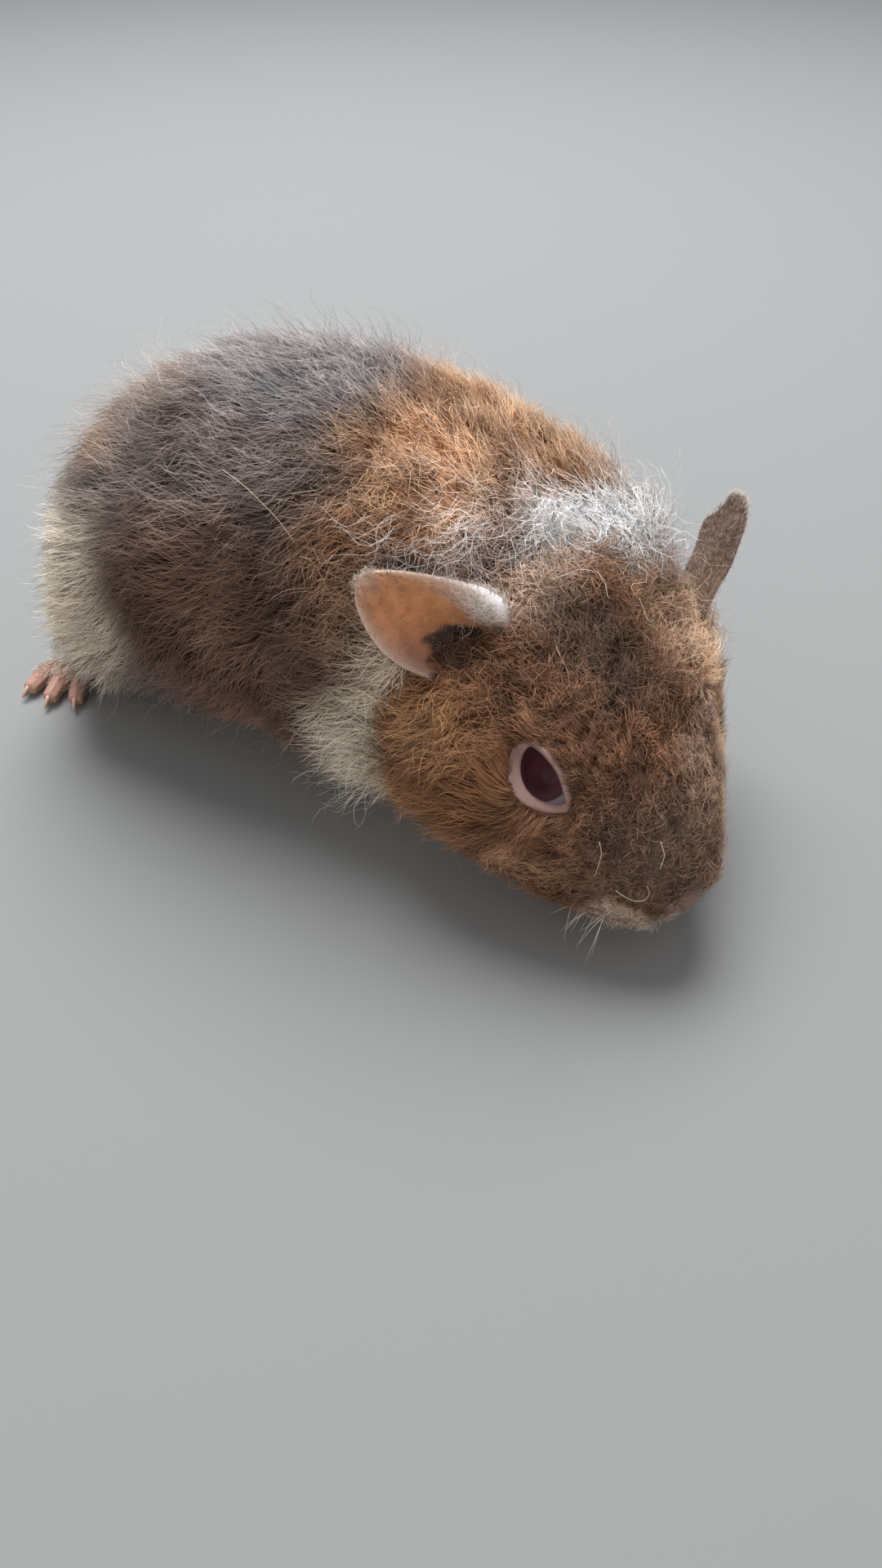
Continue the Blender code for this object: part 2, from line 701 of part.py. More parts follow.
def foot_solid(name, kind, k, collection, work):
    """A flat-soled foot with its toes and claws, the heel at its root."""
    length, width, height = kind["size"]
    spin = math.radians(kind["turn"][k])
    axes = np.array(((math.cos(spin), -math.sin(spin), 0), (math.sin(spin), math.cos(spin), 0), (0, 0, 1)))

    def place(points):
        put = np.atleast_2d(points) @ axes.T + np.array((*kind["root"][k], 0.0))
        put[:, 2] = np.maximum(put[:, 2], 0.0)
        return put

    sole_length = length - kind["toe_length"]
    rings = []
    for t, wide, tall in SOLE_SECTIONS:
        ring = []
        for i in range(SOLE_SIDES):
            angle = 2 * math.pi * i / SOLE_SIDES
            lift = height * tall * (SOLE_MIDDLE + SOLE_SWING * math.sin(angle)) - SOLE_SUNK
            ring.append((t * sole_length, width / 2 * wide * math.cos(angle), lift))
        rings.append(place(ring))
    heel = place((-SOLE_END, 0, height * HEEL_RISE))[0]
    ball = place((sole_length + SOLE_END, 0, height * BALL_RISE))[0]
    foot = loft(name, rings, heel, ball, collection)
    radius = kind["toe_radius"]
    for number in range(kind["toes"]):
        share = number / (kind["toes"] - 1) - 0.5
        fan = share * kind["spread"] + kind["toe_turn"][k]
        start = np.array((sole_length - TOE_OVERLAP, share * width * TOE_ROOTS, radius))
        reach = kind["toe_length"] * (1.0 - OUTER_TOE * abs(share) ** OUTER_TOE_POWER) + TOE_OVERLAP
        forward = np.array((math.cos(fan), math.sin(fan), 0.0))
        knuckle = start + forward * reach * 0.5 + np.array((0, 0, KNUCKLE_RISE))
        end = start + forward * reach - np.array((0, 0, TOE_TIP_DROP))
        radii = [radius * girth for girth in TOE_GIRTH]
        tube("toe", (start, knuckle, end), radii, place, work, TOE_SIDES)
        claw_root = end - forward * CLAW_OVERLAP + np.array((0, 0, CLAW_RISE))
        claw_tip = end + forward * CLAW_LENGTH - np.array((0, 0, CLAW_DROP))
        tube("claw", (claw_root, claw_tip), CLAW_RADII, place, work, CLAW_SIDES)
    fuse(foot, work)
    keep_largest(foot)
    return foot


def foreleg(name, k, grow, collection):
    """The short limb between the trunk's underside and the forefoot, wider at its top."""
    radius, height = FORE_LEG
    spin = math.radians(FORE_FOOT["turn"][k])
    root = np.array((*FORE_FOOT["root"][k], FORE_LEG_FOOT))
    low = root + FORE_LEG_SHIFT * np.array((math.cos(spin), math.sin(spin), 0))
    angles = np.linspace(0, 2 * math.pi, FORE_LEG_SIDES, endpoint=False)
    circle = np.stack([np.cos(angles), np.sin(angles), 0 * angles], axis=1)
    bottom, top = FORE_LEG_ENDS
    rings = [
        low + (0, 0, t * height) + (radius * width + grow) * circle
        for t, width in FORE_LEG_RINGS
    ]
    rings[0][:, 2] -= grow
    rings[-1][:, 2] += grow
    return loft(name, rings, low - (0, 0, grow + bottom), low + (0, 0, height + grow + top), collection)


def haunch(name, k, grow, collection):
    """The thigh and knee of a crouching hind leg, seen as one rounded mass."""
    middle, sizes = HAUNCHES[k]
    return ellipsoid(name, middle, np.array(sizes) + grow, np.eye(3), as_is, collection, *HAUNCH_GRID)


def finish(item, material_name, collection):
    """Moves the piece to the animal's collection and gives it its material."""
    for owner in list(item.users_collection):
        owner.objects.unlink(item)
    collection.objects.link(item)
    item.data.materials.clear()
    item.data.materials.append(material(material_name))
    item.data.shade_smooth()
    item.data.set_sharp_from_angle(angle=math.radians(40))


def stand_at_origin(items):
    """Puts the middle of the whole animal's footprint over the origin."""
    corners = np.array([item.matrix_world @ vertex.co for item in items for vertex in item.data.vertices])
    middle = (corners.min(axis=0) + corners.max(axis=0)) / 2
    for item in items:
        item.data.transform(Matrix.Translation((-middle[0], -middle[1], 0.0)))


def build():
    clear_scene()
    animal = new_collection("teddy_guinea_pig")
    work = new_collection("work")
    pieces = new_collection("pieces")
    sides = {"right": -1, "left": 1}

    trunk = body_form("trunk", TRUNK, TRUNK_GRID, as_is, trunk_share, work)
    trunk_locks(pieces)
    fuse(trunk, pieces)
    cut(trunk, head_room(2 * GAP, work))
    head = body_form("head", HEAD, HEAD_GRID, in_head, head_share, work)
    head_locks(pieces)
    fuse(head, pieces)

    limbs = []
    for k, name in enumerate(sides):
        for kind, table, upper in (("fore", FORE_FOOT, foreleg), ("hind", HIND_FOOT, haunch)):
            foot = foot_solid(f"{kind}foot_{name}", table, k, work, pieces)
            limb = upper(f"{kind}leg_{name}", k, 0.0, work)
            cut(limb, head_room(2 * GAP, work))
            cut(foot, upper("leg_room", k, GAP, work))
            cut(trunk, upper("leg_room", k, GAP, work))
            cut(trunk, room_of(foot, work))
            keep_largest(limb)
            keep_largest(foot)
            limbs += [(foot, "foot_skin"), (limb, "coat_white" if kind == "hind" else "foot_skin")]

    features = []
    for name, side in sides.items():
        cut(head, eye_hollow(side, work))
        lid_ring("lid", side, pieces)
    lips(pieces)
    fuse(head, pieces)
    for name, side in sides.items():
        cut(head, eye("socket", side, GAP, work))
        cut(head, ear("ear_room", name, GAP, work))
        cut(trunk, ear("ear_room", name, GAP, work))
        features.append((eye(f"eye_{name}", side, 0.0, work), "eye_dark"))
        features.append((ear(f"ear_{name}", name, 0.0, work), "ear_skin"))
        cut(head, mouth_line(side, work))
    nose = nose_pad("nose", 0.0, work)
    cut(head, nose_pad("nose_room", GAP, work))
    for side in sides.values():
        cut(nose, nostril(side, work))
    features.append((nose, "nose_skin"))
    keep_largest(head)
    keep_largest(nose)

    parts = [(head, "coat_rust")] + limbs + features
    parts.append((part_by_cuts("hindquarters", trunk, ((HIND_CUT, -1),), work), "coat_slate"))
    parts.append((part_by_cuts("torso", trunk, ((HIND_CUT, 1), (NECK_CUT, -1)), work), "coat_ginger"))
    parts.append((part_by_cuts("neck", trunk, ((NECK_CUT, 1),), work), "coat_white"))
    bpy.data.objects.remove(trunk)
    for item, material_name in parts:
        finish(item, material_name, animal)
    stand_at_origin([item for item, _ in parts])
    for empty in (work, pieces):
        bpy.data.collections.remove(empty)


# points moved out along six ways leave less than the gap between them, so they go further
ROOM_REACH = 1.4


def room_of(item, collection):
    """The room that a piece needs: the hull of its points, each moved out by the gap."""
    work = bmesh.new()
    reach = ROOM_REACH * GAP * MM
    steps = [Vector(step) * reach for step in
             ((1, 0, 0), (-1, 0, 0), (0, 1, 0), (0, -1, 0), (0, 0, 1), (0, 0, -1))]
    for vertex in item.data.vertices:
        for step in steps:
            work.verts.new(vertex.co + step)
    hull = bmesh.ops.convex_hull(work, input=work.verts)
    bmesh.ops.delete(work, geom=list(set(hull["geom_interior"] + hull["geom_unused"])), context="VERTS")
    bmesh.ops.recalc_face_normals(work, faces=work.faces)
    mesh = bpy.data.meshes.new("room")
    work.to_mesh(mesh)
    work.free()
    room = bpy.data.objects.new("room", mesh)
    collection.objects.link(room)
    return room


def eye_hollow(side, collection):
    """The shallow hollow of the face that each eye lies in."""
    outward = mirrored(EYE_AXIS, side)
    outward /= np.linalg.norm(outward)
    centre = mirrored(EYE_CENTRE, side) + outward * EYE_HOLLOW_OUT
    frame = eye_frame(side)
    return ellipsoid("eye_hollow", centre, EYE_HOLLOW, frame, in_head, collection, *HOLLOW_GRID)


def lips(collection):
    """Two upper lobes beside the cleft, and the lower lip under the mouth's line."""
    for side in (-1, 1):
        centre = mirrored(UPPER_LIP, side)
        ellipsoid("upper_lip", centre, UPPER_LIP_SIZE, np.eye(3), in_head, collection, *LIP_GRID)
    ellipsoid("lower_lip", LOWER_LIP, LOWER_LIP_SIZE, np.eye(3), in_head, collection, *LIP_GRID)


def mouth_line(side, collection):
    points = [mirrored(point, side) for point in MOUTH_LINE]
    return tube("mouth_line", points, MOUTH_RADII, in_head, collection)


def nose_pad(name, grow, collection):
    radii = np.array(NOSE_SIZE) + grow
    return ellipsoid(name, NOSE_CENTRE, radii, np.eye(3), in_head, collection, *NOSE_GRID)


def nostril(side, collection):
    frame = axes_from(mirrored(NOSTRIL_OPENS, side), mirrored(NOSTRIL_RUNS, side))
    centre = mirrored(NOSTRIL_PLACE, side)
    return ellipsoid("nostril", centre, NOSTRIL, frame, in_head, collection, *NOSTRIL_GRID)


build()
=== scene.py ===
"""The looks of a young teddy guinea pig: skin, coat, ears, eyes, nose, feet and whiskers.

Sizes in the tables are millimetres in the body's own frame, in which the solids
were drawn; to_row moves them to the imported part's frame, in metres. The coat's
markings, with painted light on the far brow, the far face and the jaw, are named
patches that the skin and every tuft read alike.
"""
import math

import bmesh
import bpy
import numpy as np
from mathutils import Matrix, Vector
from mathutils.bvhtree import BVHTree
from mathutils.kdtree import KDTree


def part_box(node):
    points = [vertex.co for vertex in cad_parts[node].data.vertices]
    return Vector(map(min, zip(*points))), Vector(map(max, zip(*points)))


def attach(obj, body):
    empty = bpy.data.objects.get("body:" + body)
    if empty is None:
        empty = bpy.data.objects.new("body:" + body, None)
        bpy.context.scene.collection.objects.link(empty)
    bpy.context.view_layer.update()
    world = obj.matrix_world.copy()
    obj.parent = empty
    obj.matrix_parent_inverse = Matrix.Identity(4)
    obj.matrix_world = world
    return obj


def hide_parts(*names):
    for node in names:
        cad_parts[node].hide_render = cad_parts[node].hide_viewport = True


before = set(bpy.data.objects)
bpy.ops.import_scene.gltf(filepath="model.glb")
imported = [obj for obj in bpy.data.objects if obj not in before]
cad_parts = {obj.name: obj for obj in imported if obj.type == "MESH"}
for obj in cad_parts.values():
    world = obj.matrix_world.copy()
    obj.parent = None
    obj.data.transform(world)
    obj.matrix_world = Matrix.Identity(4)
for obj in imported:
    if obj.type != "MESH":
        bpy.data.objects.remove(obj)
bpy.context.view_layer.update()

MM = 0.001

# along, side, low, high, half width, coat depth, how square the lower half is
TRUNK = np.array((
    (-66.5, 5.5, 10.5, 36.0, 11.0, 6.0, 2.2),
    (-61.5, 7.2, 3.4, 51.5, 22.0, 7.0, 2.3),
    (-49.0, 8.6, 2.0, 64.5, 27.8, 8.0, 2.4),
    (-32.8, 8.0, 1.6, 72.3, 31.8, 8.0, 2.3),
    (-15.0, 7.2, 1.6, 75.0, 33.5, 8.0, 2.6),
    (0.0, 4.6, 1.6, 74.0, 35.0, 8.0, 3.2),
    (13.0, 4.6, 2.0, 70.0, 34.2, 7.5, 3.5),
    (25.0, 7.2, 4.0, 64.5, 29.0, 7.0, 3.0),
    (36.5, 9.0, 10.0, 59.0, 22.5, 6.5, 2.5),
    (48.0, 9.0, 18.0, 52.0, 15.5, 6.0, 2.2),
))
HEAD = np.array((
    (-2.0, 1.8, -12.3, 12.5, 15.0, 4.0, 2.2),
    (1.5, 2.4, -19.8, 19.0, 22.6, 5.0, 2.2),
    (10.0, 2.6, -26.0, 22.6, 29.2, 6.0, 2.2),
    (20.0, 2.2, -27.4, 21.9, 32.2, 5.5, 2.2),
    (31.0, 1.6, -25.8, 18.8, 29.4, 5.0, 2.2),
    (41.0, 0.7, -22.8, 14.5, 23.0, 4.0, 2.2),
    (50.0, 0.2, -19.4, 10.6, 16.8, 3.0, 2.2),
    (57.0, 0.0, -15.8, 7.2, 11.8, 2.0, 2.2),
    (61.2, 0.0, -9.8, 4.1, 6.8, 1.5, 2.2),
))
SECTION_POWER = 2.2
# this far past a form's end counts as once more its outline
PAST_END = 8.0
# where head and trunk meet: how sharp the border is, and how far it leans to the head
HEAD_BORDER = 0.10
HEAD_LEAN = 0.3
HEAD_PLACE = np.array((19.1, -2.3, 36.1))
HEAD_TURN = (-43.5, -19.8, -6.7)
HAUNCHES = (((-57.0, 5.5, 15.0), (12.0, 10.5, 12.5)), ((-44.0, 29.0, 16.0), (13.0, 9.5, 13.5)))
SKIN_SHARE = 0.66
# how far the skin rises round the eyes, as a share of the coat, and how far out
EYE_RISE = 0.42
EYE_RISE_REACH = 9.5
SKIN_VOXEL = 0.85
SKIN_SMOOTHING = 10
HAUNCH_INSET = 2.0
BALL_COVER = 0.75
# each lip's middle and half sizes
UPPER_LIP = ((56.2, 3.3, -8.8), (4.0, 3.5, 2.4))
LOWER_LIP = ((53.6, 0.0, -14.2), (4.4, 4.2, 2.4))

EYE_RADIUS = 5.6
EYE_CENTRE = (35.9, 13.5, 6.2)
EYE_AXIS = (0.25, 0.86, 0.42)
EYE_ALONG = (1.0, 0.0, -0.18)
EYE_OPENING = (5.15, 2.95)

# each ear: its root, the way it points, the way its cup opens, and its length
EARS = {
    "right": ((14.0, -15.5, 9.5), (-0.46, -0.74, 0.48), (0.85, -0.45, 0.30), 23.4),
    "left": ((19.5, 22.5, 12.0), (-0.33, 0.53, 0.78), (0.43, 0.82, -0.37), 21.6),
}
# along the ear from 0 to 1, then how far its upper and its lower edge reach
EAR_EDGES = {
    "right": np.array((
        (0.00, 7.0, 4.6), (0.20, 10.0, 6.9), (0.40, 9.6, 7.9), (0.57, 7.9, 7.8),
        (0.72, 5.8, 6.7), (0.84, 3.9, 5.3), (0.93, 2.3, 3.8), (1.00, 0.5, 1.4),
    )),
    "left": np.array((
        (0.00, 4.6, 4.6), (0.35, 4.8, 4.7), (0.50, 5.0, 5.1), (0.60, 4.9, 6.0), (0.74, 4.5, 6.4),
        (0.80, 4.4, 4.2), (0.86, 4.0, 2.6), (0.94, 2.8, 2.2), (1.00, 0.8, 1.0),
    )),
}
# each foot: its heel, its turn, its length and width, then its toes' number, length,
# spread and turn from the sole
FEET = {
    "forefoot_right": ((8.0, -7.0), -25.0, (15.0, 8.0), 4, 5.5, 0.9, 0.0),
    "forefoot_left": ((18.0, 21.0), 2.0, (15.0, 8.0), 4, 5.5, 0.9, 0.0),
    "hindfoot_right": ((-68.5, 17.5), -101.0, (25.0, 8.6), 3, 8.0, 0.5, 0.21),
    "hindfoot_left": ((-42.0, 24.0), 12.0, (25.0, 8.6), 3, 8.0, 0.5, 0.0),
}
EAR_THICK = 0.9
EAR_CUP = 0.55
EAR_ROUNDING = 0.035

SEED = 11


# Frames and forms

def turn_matrix(yaw, pitch, roll):
    upright = Matrix.Rotation(math.radians(yaw), 3, "Z")
    nod = Matrix.Rotation(math.radians(-pitch), 3, "Y")
    lean = Matrix.Rotation(math.radians(roll), 3, "X")
    return np.array(upright @ nod @ lean)


HEAD_AXES = turn_matrix(*HEAD_TURN)


def in_head(points):
    """Head coordinates to body coordinates."""
    return np.atleast_2d(points) @ HEAD_AXES.T + HEAD_PLACE


def to_head(points):
    return (np.atleast_2d(points) - HEAD_PLACE) @ HEAD_AXES


def mirrored(values, side):
    return np.array(values, float) * np.array((1, side, 1))


low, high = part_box("eye_right")
SHIFT = in_head(mirrored(EYE_CENTRE, -1))[0] - np.array(low + high) / 2 / MM


def to_row(points):
    return (np.atleast_2d(points) - SHIFT * (1, 1, 0)) * MM


def row_at(rows, s):
    """The rows at each s from 0 to 1, on a Catmull-Rom curve through the table."""
    place = np.clip(s, 0.0, 1.0) * (len(rows) - 1)
    i = np.minimum(place.astype(int), len(rows) - 2)
    t = (place - i)[:, None]
    before = rows[np.maximum(i - 1, 0)]
    start = rows[i]
    end = rows[i + 1]
    after = rows[np.minimum(i + 2, len(rows) - 1)]
    pull = 2 * before - 5 * start + 4 * end - after
    bend = 3 * start - before - 3 * end + after
    return 0.5 * (2 * start + (end - before) * t + pull * t * t + bend * t ** 3)


def form_points(rows, s, angle, share):
    """Points of a form at each s and angle, moved in by that share of the coat's depth."""
    along, side, low, high, half_width, coat, square = row_at(rows, s).T
    inward = share * coat
    along = along + inward * np.cos(np.pi * s) ** 3
    half_width = np.maximum(half_width - inward, 1.0)
    half_height = (high - low) / 2 - inward
    across, upward = np.cos(angle), np.sin(angle)
    power = np.where(upward > 0, SECTION_POWER, square)
    y = side + half_width * np.copysign(np.abs(across) ** (2 / power), across)
    z = (high + low) / 2 + half_height * np.copysign(np.abs(upward) ** (2 / power), upward)
    return np.stack([along, y, z], axis=1)


def form_depth(rows, points):
    """How far out each point lies, 1 on the outline, and the coat's depth there."""
    s = np.interp(points[:, 0], rows[:, 0], np.linspace(0, 1, len(rows)))
    along, side, low, high, half_width, coat, square = row_at(rows, s).T
    across = np.abs(points[:, 1] - side) / half_width
    upward = (points[:, 2] - (high + low) / 2) / ((high - low) / 2)
    power = np.where(upward > 0, SECTION_POWER, square)
    beyond = np.abs(points[:, 0] - np.clip(points[:, 0], rows[0, 0], rows[-1, 0])) / PAST_END
    return (across ** power + np.abs(upward) ** power) ** (1 / power) + beyond, coat


def clipped(values):
    """The values, kept from 0 to 1."""
    return np.clip(values, 0, 1)


def mix(first, second, weight):
    """The first where the weight is 0, the second where it is 1."""
    return np.asarray(first) * (1 - weight) + np.asarray(second) * weight


def unit(vectors):
    return vectors / np.maximum(np.linalg.norm(vectors, axis=-1, keepdims=True), 1e-9)


def laid_along(ways, normals):
    """The ways without the share that leaves the surface with those normals."""
    return ways - normals * (ways * normals).sum(axis=1, keepdims=True)


def turned(ways, normals, angles):
    """Ways along the surface, turned about its normals."""
    return unit(ways * np.cos(angles)[:, None] + np.cross(normals, ways) * np.sin(angles)[:, None])


def axes_from(outward, along):
    """Columns: along, across and outward, at right angles."""
    out = unit(np.array(outward, float))
    first = np.array(along, float)
    first = unit(first - out * first.dot(out))
    return np.stack([first, np.cross(out, first), out], axis=1)


# Meshes

def mesh_piece(name, points, faces):
    """A mesh object in the part's frame from points in body millimetres."""
    mesh = bpy.data.meshes.new(name)
    mesh.from_pydata(to_row(points).tolist(), [], [list(face) for face in faces])
    work = bmesh.new()
    work.from_mesh(mesh)
    bmesh.ops.recalc_face_normals(work, faces=work.faces)
    work.to_mesh(mesh)
    work.free()
    mesh.shade_smooth()
    return linked(name, mesh)


def linked(name, mesh):
    made = bpy.data.objects.new(name, mesh)
    bpy.context.scene.collection.objects.link(made)
    return made


def ring_faces(count, sides, closed):
    """Faces between neighbouring rings, and from the last to the first of closed ones."""
    faces = []
    for r in range(count if closed else count - 1):
        q = (r + 1) % count
        for i in range(sides):
            j = (i + 1) % sides
            faces.append((r * sides + i, r * sides + j, q * sides + j, q * sides + i))
    return faces


def loft_data(rings, start_tip, end_tip):
    """Points and faces of a closed form through rings of equal counts."""
    count = len(rings[0])
    points = np.concatenate([np.concatenate(rings), [start_tip, end_tip]])
    faces = ring_faces(len(rings), count, False)
    start = len(points) - 2
    last = (len(rings) - 1) * count
    for i in range(count):
        j = (i + 1) % count
        faces.append((start, j, i))
        faces.append((start + 1, last + i, last + j))
    return points, faces


def joined(parts):
    """One set of points and faces from several."""
    points, faces, offset = [], [], 0
    for part_points, part_faces in parts:
        points.append(part_points)
        faces += [tuple(index + offset for index in face) for face in part_faces]
        offset += len(part_points)
    return np.concatenate(points), faces


def tube_data(path, radii, sides=8):
    path = np.array(path, float)
    rings = []
    turn = np.linspace(0, 2 * np.pi, sides, endpoint=False)
    for i, point in enumerate(path):
        forward = path[min(i + 1, len(path) - 1)] - path[max(i - 1, 0)]
        axes = axes_from(forward, (0.31, 0.17, 0.93))
        outward = np.outer(np.cos(turn), axes[:, 0]) + np.outer(np.sin(turn), axes[:, 1])
        rings.append(point + radii[i] * outward)
    first = path[0] - 0.5 * radii[0] * unit(path[1] - path[0])
    final = path[-1] + 0.5 * radii[-1] * unit(path[-1] - path[-2])
    return loft_data(rings, first, final)


def ball_data(centre, radii, axes, segments=32, rings=20):
    tilt = np.pi * np.arange(1, rings) / rings
    turn = np.linspace(0, 2 * np.pi, segments, endpoint=False)
    shape = np.array(axes, float) * np.array(radii, float)
    rows = [
        np.stack([np.sin(a) * np.cos(turn), np.sin(a) * np.sin(turn), np.full(segments, np.cos(a))], axis=1)
        @ shape.T + centre
        for a in tilt
    ]
    return loft_data(rows, centre + shape[:, 2], centre - shape[:, 2])


def form_data(rows, place, share_at, ring_count=48, sides=64):
    """A closed form; share_at(points) is how far in it lies."""
    rings = []
    angles = np.linspace(0, 2 * np.pi, sides, endpoint=False)
    for s in np.linspace(0, 1, ring_count):
        s = np.full(sides, s)
        share = share_at(form_points(rows, s, angles, SKIN_SHARE))
        rings.append(place(form_points(rows, s, angles, share)))
    tips = []
    forward = place((1, 0, 0))[0] - place((0, 0, 0))[0]
    for end, ring in ((-1, rings[0]), (1, rings[-1])):
        tips.append(ring.mean(axis=0) + end * forward * np.ptp(ring, axis=0).max() * 0.10)
    return loft_data(rings, tips[0], tips[1])


def remeshed(made, voxel, smoothing):
    """The piece as one surface, its seams smoothed away."""
    remesh = made.modifiers.new("one_surface", "REMESH")
    remesh.mode = "VOXEL"
    remesh.voxel_size = voxel * MM
    soften = made.modifiers.new("soften", "SMOOTH")
    soften.factor = 0.5
    soften.iterations = smoothing
    graph = bpy.context.evaluated_depsgraph_get()
    mesh = bpy.data.meshes.new_from_object(made.evaluated_get(graph))
    made.modifiers.clear()
    made.data = mesh
    mesh.shade_smooth()
    return made


# Markings and painted light

def wander(points, scale, seed):
    """Smooth noise from about -1 to 1, the same for the same place."""
    chance = np.random.default_rng(seed)
    total = np.zeros(len(points))
    for octave in range(3):
        for _ in range(4):
            wave = chance.normal(size=3) * 2 ** octave / scale
            total += np.sin(points @ wave + chance.uniform(0, 2 * np.pi)) * 0.6 ** octave / 2.4
    return total


# name, centre, half sizes, softness, colour near the skin, colour at the tips
BODY_PATCHES = (
    ("flank", (-22, -25, 31), (34, 16, 27), 0.40, (0.108, 0.058, 0.041), (0.33, 0.190, 0.130)),
    ("far flank", (-24, 38, 32), (32, 16, 26), 0.40, (0.108, 0.058, 0.041), (0.33, 0.190, 0.130)),
    ("back", (-24, 12, 76), (34, 22, 11), 0.40, (0.35, 0.300, 0.295), (0.80, 0.745, 0.745)),
    ("rump", (-48, 5, 65), (12, 18, 12), 0.40, (0.34, 0.265, 0.225), (0.76, 0.63, 0.55)),
    ("rump gold", (-52, -4, 59.5), (9, 9, 8), 0.40, (0.50, 0.225, 0.090), (0.88, 0.49, 0.23)),
    ("thigh", (-61, -12, 34), (15, 16, 24), 0.40, (0.70, 0.58, 0.45), (0.90, 0.81, 0.68)),
    ("far thigh", (-52, 36, 28), (14, 12, 20), 0.40, (0.66, 0.58, 0.48), (0.96, 0.89, 0.78)),
    ("shoulder gold", (25, 1, 66), (26, 22, 13), 0.30, (0.45, 0.240, 0.122), (0.88, 0.61, 0.42)),
    ("gold side", (10, -11, 64), (14, 9, 9), 0.35, (0.58, 0.310, 0.165), (0.98, 0.69, 0.46)),
    ("far shoulder gold", (16, 26, 56), (18, 18, 20), 0.40, (0.40, 0.21, 0.10), (0.85, 0.57, 0.36)),
    ("shoulder sweep", (4, -19.5, 59), (9, 7, 7), 0.40, (0.36, 0.170, 0.080), (0.80, 0.49, 0.30)),
    ("shoulder edge", (3, -25.5, 54), (7, 6, 8), 0.40, (0.21, 0.088, 0.040), (0.55, 0.29, 0.165)),
    ("shoulder shade", (6, -26, 46), (11, 9, 9), 0.40, (0.20, 0.098, 0.056), (0.56, 0.34, 0.22)),
    ("nape", (37.5, -1.5, 52.0), (15.5, 15, 6.5), 0.25, (0.94, 0.92, 0.90), (1.0, 1.0, 1.0)),
    ("nape wisp", (23, -13, 57), (9, 6, 4), 0.50, (0.36, 0.235, 0.180), (0.78, 0.60, 0.52)),
    ("behind the ear", (21, -18, 50), (6, 5, 4), 0.50, (0.22, 0.105, 0.055), (0.52, 0.32, 0.20)),
    ("throat", (12, -27, 17), (16, 15, 26), 0.25, (0.94, 0.77, 0.58), (1.0, 0.95, 0.82)),
    ("far throat", (28, 32, 28), (15, 14, 22), 0.40, (0.64, 0.53, 0.42), (0.94, 0.86, 0.76)),
    ("belly", (-10, 8, 0), (48, 30, 8), 0.40, (0.54, 0.43, 0.32), (0.86, 0.74, 0.60)),
)
BODY_GROUND = ((0.140, 0.100, 0.083), (0.45, 0.360, 0.325))
HEAD_PATCHES = (
    ("cheek", (19, -27, -1), (18, 11, 16), 0.45, (0.185, 0.070, 0.028), (0.50, 0.245, 0.112)),
    ("cheek gold", (16, -27, 7), (9, 7, 6), 0.50, (0.34, 0.155, 0.066), (0.92, 0.53, 0.26)),
    ("far cheek", (19, 29, -1), (18, 11, 16), 0.45, (0.22, 0.093, 0.039), (0.60, 0.32, 0.155)),
    # painted light: the far brow lightened where the head's contour catches light
    ("far brow painted light", (34, 17, 12), (17, 8, 10), 0.40, (0.50, 0.295, 0.185), (1.0, 0.74, 0.52)),
    ("muzzle", (53, -3, 3), (13, 13, 12), 0.40, (0.090, 0.048, 0.031), (0.34, 0.205, 0.135)),
    # painted light: the far side of the face lightened for the window light falling on it
    ("far face painted light", (46, 10, 8), (13, 6, 8), 0.40, (0.22, 0.130, 0.085), (0.64, 0.43, 0.30)),
    ("crown", (7, -7, 21), (8, 11, 8), 0.40, (0.25, 0.145, 0.092), (0.65, 0.455, 0.33)),
    ("ear curls", (14, -9, 20), (8, 7, 6), 0.45, (0.36, 0.23, 0.16), (0.82, 0.61, 0.47)),
    ("dark brow", (25, -3, 18), (11, 10, 6), 0.50, (0.078, 0.043, 0.028), (0.25, 0.150, 0.100)),
    ("ear base", (13.5, -19.5, 13.2), (5.5, 4.0, 4.0), 0.35, (0.030, 0.020, 0.016), (0.12, 0.075, 0.056)),
    ("far ear base", (13, 19, 16), (8, 9, 8), 0.45, (0.19, 0.098, 0.054), (0.50, 0.32, 0.205)),
    # painted light: the jaw's underside lightened for the light the floor throws up
    ("jaw painted light", (48, -17, -6), (11, 7, 6), 0.45, (0.21, 0.100, 0.054), (0.68, 0.39, 0.225)),
    ("chin", (32, 0, -27), (28, 18, 7), 0.40, (0.48, 0.36, 0.26), (0.84, 0.71, 0.57)),
    ("lips", (57, 0, -10), (6.5, 13, 5), 0.35, (0.46, 0.33, 0.25), (0.80, 0.68, 0.58)),
)
HEAD_GROUND = ((0.112, 0.048, 0.025), (0.42, 0.207, 0.110))
WHITE = (0.93, 0.89, 0.87)


def headness(points):
    """1 on the head, 0 on the trunk."""
    head_out, _ = form_depth(HEAD, to_head(points))
    trunk_out, _ = form_depth(TRUNK, points)
    return clipped((trunk_out - head_out) / HEAD_BORDER + HEAD_LEAN)


def coat_colours(points):
    """The colour near the skin and at the tips, for places in body millimetres."""
    head_points = to_head(points)
    on_head = headness(points)[:, None]
    result = []
    for places, ground, patches, seed in (
        (points, BODY_GROUND, BODY_PATCHES, 3),
        (head_points, HEAD_GROUND, HEAD_PATCHES, 5),
    ):
        warp = np.stack([wander(places, 9.0, seed + k) for k in range(3)], axis=1) * 2.6
        colours = np.tile(np.array(ground, float).reshape(1, 6), (len(places), 1))
        for _, centre, sizes, softness, near_skin, at_tips in patches:
            reach = np.linalg.norm((places + warp - centre) / sizes, axis=1)
            weight = clipped((1.0 + softness - reach) / (2 * softness))[:, None]
            weight = weight * weight * (3 - 2 * weight)
            colours = mix(colours, near_skin + at_tips, weight)
        mottle = 1.0 + 0.16 * wander(places, 3.5, seed + 20)[:, None]
        result.append(colours * mottle)
    both = mix(*result, on_head)
    return both[:, :3], both[:, 3:]


BUMP_DETAIL = 4.0
FLESH_GLOW = (0.003, 0.0012, 0.0008)


